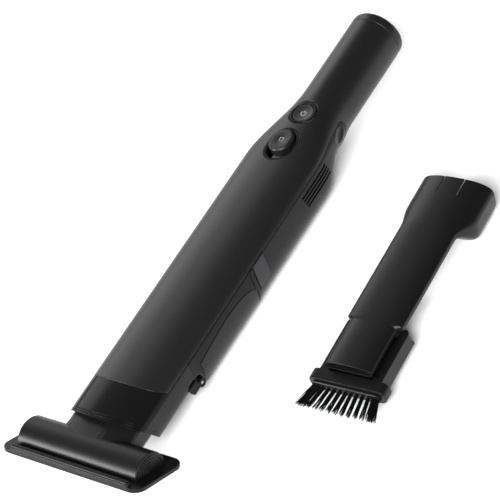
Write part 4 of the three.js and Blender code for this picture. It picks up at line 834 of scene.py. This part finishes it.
def button_face(x, y):
    r = min(math.hypot(x, y - BUTTON_Y) / BUTTON_RADIUS, 0.8)
    return BUTTON_TOP_Z - DISH_DEPTH * math.sin(math.pi * (1 - r) / 2)


sign = stroke("sign", arc(0, BUTTON_Y, SIGN_RADIUS, 125, 415, 40), SIGN_WIDTH, 0.04, button_face)
add(sign, stroke("bar", [(0, BUTTON_Y + 0.5), (0, BUTTON_Y + 2.7)], SIGN_WIDTH, 0.041, button_face))
finished(sign, "power_sign", "power_button", "silver_plate", PRINT)

# %% [markdown]
# ## Eject slider
# The slider is a tall satin cap with a shallow thumb scoop. It stands in a deep oval well with a
# rounded, polished bezel.

# %% Slider and its bezel
ROD_TOP_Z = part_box("release_rod")[1][2] / MM - AXIS_Z
BEZEL_TOP = HANDLE_RADIUS - 0.5
bezel = plan_plate(oval(WELL_HALF_WIDTH + BEZEL_RIM, WELL_HALF_LENGTH + BEZEL_RIM, SLIDER_Y),
                   ROD_TOP_Z + GAP, BEZEL_TOP)
cut(bezel, plan_plate(oval(WELL_HALF_WIDTH, WELL_HALF_LENGTH, SLIDER_Y), 0, FAR))
chamfer = [[(x, y, z) for x, y in oval(WELL_HALF_WIDTH + grow, WELL_HALF_LENGTH + grow, SLIDER_Y)]
           for z, grow in ((BEZEL_TOP - 1.4, -0.2), (BEZEL_TOP - 0.9, 0.1), (BEZEL_TOP - 0.2, 1.0),
                           (BEZEL_TOP + 0.5, 2.2))]
cut(bezel, skin("chamfer", chamfer))
finished(bezel, "slider_well", "main", "gloss_black", ABS_GLOSS, "slider_bezel")

CAP_MIDDLE = SLIDER_Y + SLIDER_TRAVEL / 2
CROWN_Z = HANDLE_RADIUS + 3.2
levels = [(ROD_TOP_Z + GAP, 0), (CROWN_Z - 1.5, 0), (CROWN_Z - 1.0, 0.12), (CROWN_Z - 0.5, 0.4),
          (CROWN_Z - 0.15, 0.8), (CROWN_Z, 1.3)]
cap_rings = [[(x, y, z) for x, y in oval(SLIDER_HALF_WIDTH - less, SLIDER_LENGTH / 2 - less, CAP_MIDDLE)]
             for z, less in levels]
slider_cap = skin("slider", cap_rings)
SCOOP_RADIUS = 32
SCOOP_DEPTH = 0.8
SCOOP_Z = CROWN_Z + SCOOP_RADIUS - SCOOP_DEPTH
cut(slider_cap, ball("scoop", SCOOP_RADIUS, lambda u, v, h: (u, CAP_MIDDLE + v, SCOOP_Z + h), 28, 96))
finished(slider_cap, "eject_slider_cap", "slider", "satin_black", ABS_SATIN, "eject_slider")


def scoop_floor(x, y):
    return SCOOP_Z - math.sqrt(SCOOP_RADIUS ** 2 - x * x - (y - CAP_MIDDLE) ** 2)


BIN_Y = CAP_MIDDLE + 0.4
BIN_STROKE = 0.3
bin_sign = stroke("bin", [(-1.5, BIN_Y + 1.2), (-1.15, BIN_Y - 1.8), (1.15, BIN_Y - 1.8),
                          (1.5, BIN_Y + 1.2)], BIN_STROKE, 0.05, scoop_floor)
add(bin_sign, stroke("lid", [(-2.0, BIN_Y + 1.7), (2.0, BIN_Y + 1.7)], BIN_STROKE, 0.052, scoop_floor))
finished(bin_sign, "bin_sign", "slider", "silver_plate", PRINT)

# %% [markdown]
# ## Pet-hair tool
# The tool is grained ABS: a flat neck runs into an arched barrel across it. Each end of the barrel has
# raised arcs, like the growth rings of a shell, and the sole's front edge is a thick ribbed roll.

# %% The tilted tool
TOOL_TILT = math.radians(-30)
TOOL_Y = -25.6
TOOL_Z = 5.2
TOOL_HALF_LENGTH = 52.5
BARREL_HALF_DEPTH = 15.4
BARREL_HEIGHT = 13.8
BARREL_WALL = 2.2
BARREL_SOFT = 0.9
TILT = Matrix.Translation((0, TOOL_Y, TOOL_Z)) @ Matrix.Rotation(TOOL_TILT, 4, "X")


def tilted(piece):
    piece.data.transform(TILT)
    return piece


def arched(half_depth, height, floor, steps=64):
    return [(half_depth * math.cos(math.pi * i / steps), floor + height * math.sin(math.pi * i / steps))
            for i in range(steps + 1)]


def barrel(half_length, half_depth, height, soft=0.0):
    """Arched bar across the tool, with its end edges softened."""
    return skin("barrel", [[(x, y, z) for y, z in arched(half_depth - less, height - less, 0)]
                           for x, less in softened(-half_length, half_length, soft)])


# %% Tool body
TOOL_NECK_Y = TOOL_Y + 4
neck = neck_form(TOOL_NECK_Y, NECK_DEPTH, 0)
cut(neck, tilted(block(-FAR, FAR, -FAR, FAR, -FAR, 0)))
SHOULDER_FRONT, SHOULDER_BACK = -24.0, -9.0
SHOULDER_GROW = 7.0
SHOULDER_FLATTEN = 0.4
SHOULDER_STEPS = 8
shoulder_rings = []
for k in range(SHOULDER_STEPS + 1):
    t = k / SHOULDER_STEPS
    grow = SHOULDER_GROW * (1 - math.sin(math.pi / 2 * t))
    section = arch_section(NECK_HALF_WIDTH + grow, WIDEST_Z, NECK_ROOF - 0.02 - SHOULDER_FLATTEN * grow,
                           NECK_LOW - SHOULDER_FLATTEN * grow)
    shoulder_rings.append([(x, lerp(SHOULDER_FRONT, SHOULDER_BACK, t), z) for x, z in section])
shoulder = skin("shoulder", shoulder_rings)
cut(shoulder, tilted(block(-FAR, FAR, -FAR, FAR, -FAR, 0)))
tool = tilted(barrel(TOOL_HALF_LENGTH, BARREL_HALF_DEPTH, BARREL_HEIGHT, BARREL_SOFT))
add(tool, shoulder, neck)
RIDGES = (2.4, 5.0, 7.6, 10.2, 12.6)
HALF_RIDGE = 0.45
RIDGE_SQUASH = 0.9
RIDGE_FLOOR = 0.3
for side in (-1, 1):
    for radius in RIDGES:
        outer, inner = (arched(radius + half, radius * RIDGE_SQUASH + half, RIDGE_FLOOR, 40)
                        for half in (HALF_RIDGE, -HALF_RIDGE))
        x0, x1 = in_order(side * (TOOL_HALF_LENGTH - 0.5), side * (TOOL_HALF_LENGTH + 0.5))
        add(tool, tilted(side_plate(outer + inner[::-1], x0, x1)))
cut(tool, cut(neck_form(TOOL_NECK_Y + BARREL_WALL, NECK_DEPTH + 1, BARREL_WALL),
              tilted(block(-FAR, FAR, -FAR, FAR, -FAR, BARREL_WALL))))
chamber = barrel(TOOL_HALF_LENGTH - BARREL_WALL, BARREL_HALF_DEPTH - BARREL_WALL,
                 BARREL_HEIGHT - BARREL_WALL)
add(chamber, block(-TOOL_HALF_LENGTH + BARREL_WALL, TOOL_HALF_LENGTH - BARREL_WALL,
                   BARREL_WALL - BARREL_HALF_DEPTH, BARREL_HALF_DEPTH - BARREL_WALL, -1, 0.1))
cut(tool, tilted(chamber))
finished(tool, "pet_tool_shell", "pet_tool", "tool_black", TOOL_ABS, "pet_tool_body", crease=28)

# %% Sole with its ribbed front roll
SOLE_HALF_WIDTH = 61.5
SOLE_FRONT = -24.6
SOLE_BACK = 26
SOLE_THICKNESS = 3.4
SOLE_CORNER = 9
SUCTION_HALF_LENGTH = TOOL_HALF_LENGTH - 6
SUCTION_HALF_DEPTH = 6.5
ROLL_RADIUS = 3.2
ROLL_ENDS = ((0, 0.6), (0.7, 0.86), (2.2, 1))       # how far in, and the share of the full radius there
ROLL_RIBS = 12
ROLL_STEPS = 144
RIB_SHARPNESS = 6
RIB_DEPTH = 0.28
sole_y = (SOLE_FRONT + SOLE_BACK) / 2
sole_half = (SOLE_BACK - SOLE_FRONT) / 2
layers = ((-GAP - SOLE_THICKNESS, 0.5), (-GAP - SOLE_THICKNESS + 0.25, 0.12),
          (-GAP - SOLE_THICKNESS + 0.6, 0), (-GAP - 0.6, 0), (-GAP - 0.25, 0.12), (-GAP, 0.5))
sole = skin("sole", [[(x, y, z) for x, y in round_rectangle(0, sole_y, SOLE_HALF_WIDTH - less,
                                                            sole_half - less, SOLE_CORNER - less, 16)]
                     for z, less in layers])
cut(sole, plan_plate(round_rectangle(0, 0, SUCTION_HALF_LENGTH, SUCTION_HALF_DEPTH, 3), -10, 1))
roll_half = SOLE_HALF_WIDTH - SOLE_CORNER
roll_y, roll_z = SOLE_FRONT + ROLL_RADIUS, -GAP - SOLE_THICKNESS + ROLL_RADIUS
roll_rings = []
for x, size in ([(along - roll_half, size) for along, size in ROLL_ENDS]
                + [(roll_half - along, size) for along, size in ROLL_ENDS[::-1]]):
    ring = []
    for i in range(ROLL_STEPS):
        angle = 2 * math.pi * i / ROLL_STEPS
        radius = size * (ROLL_RADIUS - RIB_DEPTH * abs(math.sin(ROLL_RIBS * angle / 2)) ** RIB_SHARPNESS)
        ring.append((x, roll_y + radius * math.cos(angle), roll_z + radius * math.sin(angle)))
    roll_rings.append(ring)
add(sole, skin("roll", roll_rings))
finished(tilted(sole), "pet_tool_sole_plate", "pet_tool", "tool_black", TOOL_ABS, "pet_tool_sole")

# %% [markdown]
# ## Duster crevice tool
# The second tool has a wide socket that narrows to a flat tube. A carriage under the tube carries a
# bristle head. It lies turned a little beside the vacuum, so it is drawn straight and then placed.

# %% Where the second tool lies
TUBE_TURN = math.radians(1.8)
TUBE_X = 135.8
TUBE_Y = 97
TUBE_PLACE = Matrix.Translation((TUBE_X, TUBE_Y, -AXIS_Z)) @ Matrix.Rotation(TUBE_TURN, 4, "Z")
CREVICE_LENGTH = 172
CREVICE_HALF_WIDTH = 21.8
CREVICE_TIP_HALF_WIDTH = 18
CREVICE_HEIGHT = 9
CREVICE_ROOF = 4.2
SOCKET_LENGTH = 27.5
SOCKET_FLARE = 22
STEP_LENGTH = 41
STEP_RISE = 3
STEP_SECTIONS = 8
FLARE_RINGS = 24
TUBE_TOP = 2 * NECK_HALF_HEIGHT
TUBE_BOTTOM = TUBE_TOP - CREVICE_HEIGHT


def laid(piece):
    piece.data.transform(TUBE_PLACE)
    return piece


def tube_form(inset, start, end, edge=0.0):
    flare_y = CREVICE_LENGTH - SOCKET_LENGTH - SOCKET_FLARE
    ends = softened(start, end, edge) if edge else [(start, 0), (end, 0)]
    half = len(ends) // 2
    rows = [(y, CREVICE_TIP_HALF_WIDTH, 0, less) for y, less in ends[:half]]
    for k in range(STEP_SECTIONS + 1):
        t = k / STEP_SECTIONS
        half_width = lerp(CREVICE_TIP_HALF_WIDTH, CREVICE_HALF_WIDTH, smooth(t))
        rows.append((STEP_LENGTH - STEP_RISE + STEP_RISE * t, half_width, 0, 0))
    for k in range(FLARE_RINGS + 1):
        t = smooth(k / FLARE_RINGS)
        half_width = lerp(CREVICE_HALF_WIDTH, NECK_HALF_WIDTH, t)
        rows.append((flare_y + SOCKET_FLARE * k / FLARE_RINGS, half_width, t, 0))
    rows += [(y, NECK_HALF_WIDTH, 1, less) for y, less in ends[half:]]
    rings = []
    for y, half_width, t, less in rows:
        roof = lerp(CREVICE_ROOF, NECK_ROOF, t)
        low = lerp(CREVICE_HEIGHT - CREVICE_ROOF, NECK_LOW, t)
        inner = inset + less
        section = arch_section(half_width - inner, TUBE_TOP - roof, roof - inner, low - inner,
                               draw_in=DRAW_IN * t)
        rings.append([(x, y, z) for x, z in section])
    return skin("tube", rings)


# %% Tube with its guide and socket slits
GUIDE_HALF_WIDTH = 3
FLANGE = 2.2
RUNNER_Y = STEP_LENGTH + 6
RUNNER_LENGTH = 20
CARRIAGE_TRAVEL = 48


def guide(start, end, clear):
    foot = TUBE_BOTTOM - 2 * FLANGE - clear
    stem = block(-GUIDE_HALF_WIDTH - clear, GUIDE_HALF_WIDTH + clear, start, end, foot, TUBE_BOTTOM + 1)
    wide = GUIDE_HALF_WIDTH + FLANGE + clear
    return add(stem, block(-wide, wide, start, end, foot, TUBE_BOTTOM - FLANGE + clear))


TUBE_WALL = 1.6
SLIT_X = 8
HALF_SLIT = 0.6
SLIT_LENGTH = 16
tube = tube_form(0, 0, CREVICE_LENGTH, 0.5)
add(tube, guide(RUNNER_Y + 1, RUNNER_Y + RUNNER_LENGTH + CARRIAGE_TRAVEL - 1, 0))
cut(tube, tube_form(TUBE_WALL, -1, CREVICE_LENGTH + 1))
for x in (-SLIT_X, SLIT_X):
    cut(tube, block(x - HALF_SLIT, x + HALF_SLIT, CREVICE_LENGTH - SLIT_LENGTH, CREVICE_LENGTH + 1,
                    NECK_HALF_HEIGHT, FAR))
finished(laid(tube), "crevice_tool_tube", "crevice_tool", "tool_black", SATIN_TOOL, "crevice_tube")

# %% Carriage and brush head
CARRIAGE_TOP = TUBE_BOTTOM - GAP
CARRIAGE_HEIGHT = 12.5
RAIL_WIDTH = 7.5
RAIL_REACH = 6.5
RAIL_GROOVE = 3
RAIL_END = STEP_LENGTH + 3
CARRIAGE_HALF_WIDTH = CREVICE_TIP_HALF_WIDTH + RAIL_REACH
BRUSH_HALF_WIDTH = 30
BRUSH_DEPTH = 9
BRUSH_SETBACK = 0.6
front = -BRUSH_SETBACK - 1
low = CARRIAGE_TOP - CARRIAGE_HEIGHT
TRAY_FLOOR = 2.5
FOOT_HALF_WIDTH, FOOT_LENGTH = 13, 18
RUNNER_HALF_WIDTH = 10
tray = block(-CARRIAGE_HALF_WIDTH, CARRIAGE_HALF_WIDTH, front, RAIL_END - 1.5, low, low + TRAY_FLOOR)
add(tray, block(-FOOT_HALF_WIDTH, FOOT_HALF_WIDTH, RAIL_END - FOOT_LENGTH, RAIL_END - 2, 0, low + 1),
    block(-RUNNER_HALF_WIDTH, RUNNER_HALF_WIDTH, RAIL_END - 3, RUNNER_Y + RUNNER_LENGTH, low, CARRIAGE_TOP))
for side in (-1, 1):
    x0, x1 = in_order(side * (CARRIAGE_HALF_WIDTH - RAIL_WIDTH), side * CARRIAGE_HALF_WIDTH)
    middle_x, half_x = (x0 + x1) / 2, (x1 - x0) / 2
    rail_plan = [(x0, front), (x1, front)] + arc(middle_x, RAIL_END - half_x, half_x, 0, 180, 16)
    rail_rings = [[(middle_x + (x - middle_x) * k, front + (y - front) * (1 - (1 - k) * 0.03), z)
                   for x, y in rail_plan]
                  for z, k in ((low, 1), (CARRIAGE_TOP - 0.7, 1), (CARRIAGE_TOP - 0.25, 0.9),
                               (CARRIAGE_TOP, 0.7))]
    add(tray, skin("rail", rail_rings))
HEAD_CORNER = 4.5
HEAD_SOFT = 1.0
head_middle = CARRIAGE_TOP - CARRIAGE_HEIGHT / 2
head_rings = [[(x, y, z) for x, z in round_rectangle(0, head_middle, BRUSH_HALF_WIDTH - less,
                                                     CARRIAGE_HEIGHT / 2 - less, HEAD_CORNER, 10)]
              for y, less in softened(-BRUSH_SETBACK - BRUSH_DEPTH, -BRUSH_SETBACK, HEAD_SOFT)]
add(tray, skin("head", head_rings))
cut(tray, guide(RAIL_END - 4, RUNNER_Y + RUNNER_LENGTH + 1, GAP))
for side in (-1, 1):        # a groove beside the tube leaves a rim along the rail
    groove_x = in_order(side * (CREVICE_TIP_HALF_WIDTH - 0.5),
                        side * (CREVICE_TIP_HALF_WIDTH + RAIL_GROOVE))
    cut(tray, block(*groove_x, 1.5, RAIL_END - 5, CARRIAGE_TOP - RAIL_GROOVE, FAR))
finished(laid(tray), "brush_tray", "brush", "tool_black", SATIN_TOOL, "brush_carriage")

# %% [markdown]
# ## Bristles
# A real strip is punched with tufts of nylon. Geometry Nodes scatter the hairs of one tuft, lean each
# one a little by chance, and then repeat the tuft along the strip, fanned out towards the ends.

# %% Bristle tree
HAIRS = 60
HAIR_WIDTH = 0.36
TUFT_WIDTH = 2.2


def bristle_tree():
    tree, given = new_tree("fanned_tufts", Places="Object", Hairs_per_Tuft="Int", Tuft_Width="Float",
                           Hair_Length="Float", Hair_Width="Float", Fan="Float", Splay="Float",
                           Seed="Int", Finish="Material")
    places = node(tree, "GeometryNodeObjectInfo", Object=given["Places"]).outputs["Geometry"]
    index = node(tree, "GeometryNodeInputIndex").outputs["Index"]
    copies = node(tree, "GeometryNodeDuplicateElements", {"domain": "POINT"}, Geometry=places,
                  Amount=given["Hairs per Tuft"])
    half = node(tree, "ShaderNodeMath", {"operation": "MULTIPLY"})
    tree.links.new(given["Tuft Width"], half.inputs[0])
    half.inputs[1].default_value = 0.5
    low = node(tree, "ShaderNodeMath", {"operation": "MULTIPLY"})
    tree.links.new(half.outputs[0], low.inputs[0])
    low.inputs[1].default_value = -1.0
    most = node(tree, "ShaderNodeCombineXYZ", X=half.outputs[0], Z=half.outputs[0])
    least = node(tree, "ShaderNodeCombineXYZ", X=low.outputs[0], Z=low.outputs[0])
    scatter = node(tree, "FunctionNodeRandomValue", {"data_type": "FLOAT_VECTOR"}, Seed=given["Seed"],
                   ID=index)
    tree.links.new(least.outputs[0], scatter.inputs["Min"])
    tree.links.new(most.outputs[0], scatter.inputs["Max"])
    moved = node(tree, "GeometryNodeSetPosition", Geometry=copies.outputs["Geometry"],
                 Offset=scatter.outputs["Value"])
    position = node(tree, "GeometryNodeInputPosition").outputs["Position"]
    where = node(tree, "ShaderNodeSeparateXYZ", Vector=position)
    lean = node(tree, "ShaderNodeMath", {"operation": "MULTIPLY"})
    tree.links.new(where.outputs["X"], lean.inputs[0])
    tree.links.new(given["Fan"], lean.inputs[1])
    drift = node(tree, "FunctionNodeRandomValue", {"data_type": "FLOAT_VECTOR"}, Seed=given["Seed"],
                 ID=index)
    drift.inputs["Min"].default_value = (-1, -1, -1)
    drift.inputs["Max"].default_value = (1, 1, 1)
    spread = node(tree, "ShaderNodeVectorMath", {"operation": "SCALE"}, Vector=drift.outputs["Value"],
                  Scale=given["Splay"])
    turn = node(tree, "ShaderNodeCombineXYZ", X=math.pi / 2, Z=lean.outputs[0])
    angle = node(tree, "ShaderNodeVectorMath", {"operation": "ADD"})
    tree.links.new(spread.outputs["Vector"], angle.inputs[0])
    tree.links.new(turn.outputs["Vector"], angle.inputs[1])
    hair = node(tree, "GeometryNodeMeshCone", Vertices=5, Side_Segments=1, Fill_Segments=1,
                Radius_Top=0.4, Radius_Bottom=1.0, Depth=1.0)
    longer = node(tree, "FunctionNodeRandomValue", {"data_type": "FLOAT"}, Seed=given["Seed"], ID=index)
    for socket, value in zip([s for s in longer.inputs if s.enabled and s.type == "VALUE"][:2],
                             (0.86, 1.0)):
        socket.default_value = value
    length = node(tree, "ShaderNodeMath", {"operation": "MULTIPLY"})
    tree.links.new([s for s in longer.outputs if s.enabled][0], length.inputs[0])
    tree.links.new(given["Hair Length"], length.inputs[1])
    size = node(tree, "ShaderNodeCombineXYZ", X=given["Hair Width"], Y=given["Hair Width"],
                Z=length.outputs[0])
    return end_tree(tree, given["Finish"], Points=moved.outputs["Geometry"],
                    Instance=hair.outputs["Mesh"], Rotation=angle.outputs["Vector"],
                    Scale=size.outputs["Vector"])


# %% Bristle strip
STRIP_HALF = BRUSH_HALF_WIDTH - 4
STRIP_BACK = -BRUSH_SETBACK - BRUSH_DEPTH - GAP
BRISTLE_LENGTH = 19.5
FAN = 0.011         # radians that a hair leans outwards for each millimetre from the middle
SPLAY = 0.07        # radians that a hair may lean by chance
OUTER_TUFTS = [21.4, 23.2, 25]
INNER_TUFT_REACH = 17.6
tuft_places = ([-x for x in OUTER_TUFTS[::-1]]
               + [lerp(-INNER_TUFT_REACH, INNER_TUFT_REACH, k / 8) for k in range(9)] + OUTER_TUFTS)
spots = bpy.data.objects.new("spots", bpy.data.meshes.new("spots"))
spots.data.from_pydata([(x, STRIP_BACK - 1.2, head_middle) for x in tuft_places], [], [])
bpy.context.collection.objects.link(spots)
tufts = grown(bristle_tree(), "tufts", Places=spots, Hairs_per_Tuft=HAIRS, Tuft_Width=TUFT_WIDTH,
              Hair_Length=BRISTLE_LENGTH, Hair_Width=HAIR_WIDTH / 2, Fan=FAN, Splay=SPLAY, Seed=7,
              Finish=NYLON)
bpy.data.objects.remove(spots)
finished(laid(tufts), "bristle_tufts", "brush", "bristle", NYLON, "bristle_strip")
strip = skin("strip", [[(x, y, z)
                        for x, z in round_rectangle(0, head_middle, STRIP_HALF - less, 4 - less, 1.6)]
                       for y, less in ((STRIP_BACK - 1.6, 0.4), (STRIP_BACK - 1.2, 0), (STRIP_BACK, 0))])
finished(laid(strip), "bristle_base", "brush", "bristle", SATIN_TOOL, "bristle_strip")

# %% [markdown]
# ## Pieces that stay as the frame has them
# The inner pieces keep their CAD shape, and each gets the finish of the real one.

# %% Finishes for the CAD pieces
CARRIED = {
    STEEL: ["case_screw_1", "case_screw_2", "case_screw_3", "case_screw_4", "mesh_screen", "hinge_pin_left",
            "hinge_pin_right", "motor_shaft", "return_spring"],
    ZINC: ["motor_can"],
    RUBBER: ["door_seal", "inlet_flap", "motor_mount"],
    INNER_ABS: ["filter_frame", "fan_shroud", "impeller", "shroud_saddle", "motor_saddle",
                "battery_carrier", "release_rod"],
    FELT: ["pleated_filter"],
    FOAM: ["exhaust_foam_left", "exhaust_foam_right"],
    SLEEVE: ["battery_cell_1", "battery_cell_2", "battery_cell_3"],
    ABS_GLOSS: ["charging_jack", "tact_switch"],
    SOLDER_MASK: ["control_board"],
    LINT: ["lint_strip_front", "lint_strip_back"],
}
for material, names in CARRIED.items():
    for name in names:
        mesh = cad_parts[name].data
        mesh.materials.clear()
        mesh.materials.append(material)
print(sum(len(names) for names in CARRIED.values()), "carried-over pieces dressed")

# %% [markdown]
# ## Studio
# A pale floor, a large light from the camera's side that whitens it, a low soft key from behind on
# the left, a small light on the left front and a dim white sky.

# %% Floor and lights
def softbox(name, place, aim, size, power):
    light = bpy.data.lights.new(name, "AREA")
    light.shape = "RECTANGLE"
    light.size, light.size_y = size
    light.energy = power
    lamp = bpy.data.objects.new(name, light)
    lamp.location = place
    lamp.rotation_euler = (Vector(aim) - Vector(place)).to_track_quat("-Z", "Y").to_euler()
    bpy.context.collection.objects.link(lamp)


FLOOR_REACH = 6
FLOOR_Z = -0.0002           # just under the belly, so that the two faces don't flicker
floor_mesh = bpy.data.meshes.new("floor")
floor_mesh.from_pydata([(FLOOR_REACH * a, FLOOR_REACH * b, FLOOR_Z)
                        for a, b in ((-1, -1), (1, -1), (1, 1), (-1, 1))], [], [(0, 1, 2, 3)])
floor = bpy.data.objects.new("floor", floor_mesh)
bpy.context.collection.objects.link(floor)
floor_mesh.materials.append(finish("white_sweep", "f4f4f4", "f6f6f6", 0.8, 1.0, 0.0, edge_mm=0.01))

bpy.context.scene.view_settings.view_transform = "Standard"
world = bpy.data.worlds.new("sky")
bpy.context.scene.world = world
world.use_nodes = True
sky = world.node_tree.nodes["Background"].inputs
sky["Color"].default_value = (1, 1, 1, 1)
sky["Strength"].default_value = 0.14
softbox("floor_light", (0.9, -1.4, 1.5), (0.05, 0, 0), (1.2, 1.2), 100)
softbox("key", (-1.2, 0.65, 0.7), (0, 0.02, 0.03), (1.3, 0.8), 10)
softbox("front", (-0.85, -1.1, 0.6), (0, -0.15, 0.03), (0.45, 0.35), 34)

# %% [markdown]
# ## Camera
# The view is from the front right, looking down, with the camera rolled so that the vacuum runs from
# the lower left to the upper right. Its angles turn about an aim point as high as the handle's axis.

# %% Camera
AZIMUTH = math.radians(51.280)
ELEVATION = math.radians(43.489)
ROLL = math.radians(-27.463)
DISTANCE = 1.4771
SENSOR_MM = 36
LENS_MM = 148.716
AIM = Vector((0.01366, 0.00574, 0.033))
back = Vector((math.sin(AZIMUTH) * math.cos(ELEVATION), -math.cos(AZIMUTH) * math.cos(ELEVATION),
               math.sin(ELEVATION)))
level = Vector((math.cos(AZIMUTH), math.sin(AZIMUTH), 0))
upright = back.cross(level)
axis_x = level * math.cos(ROLL) + upright * math.sin(ROLL)
lens = bpy.data.cameras.new("camera")
lens.sensor_width = SENSOR_MM
lens.lens = LENS_MM
camera = bpy.data.objects.new("camera", lens)
turn = Matrix((axis_x, back.cross(axis_x), back)).transposed().to_4x4()
camera.matrix_world = Matrix.Translation(AIM + back * DISTANCE) @ turn
bpy.context.collection.objects.link(camera)
bpy.context.scene.camera = camera

# %% [markdown]
# ## Pieces made
# The scene is brought up to date, and the pieces made are counted.

# %% Update and count
bpy.context.view_layer.update()
print(len(PIECES), "pieces made")
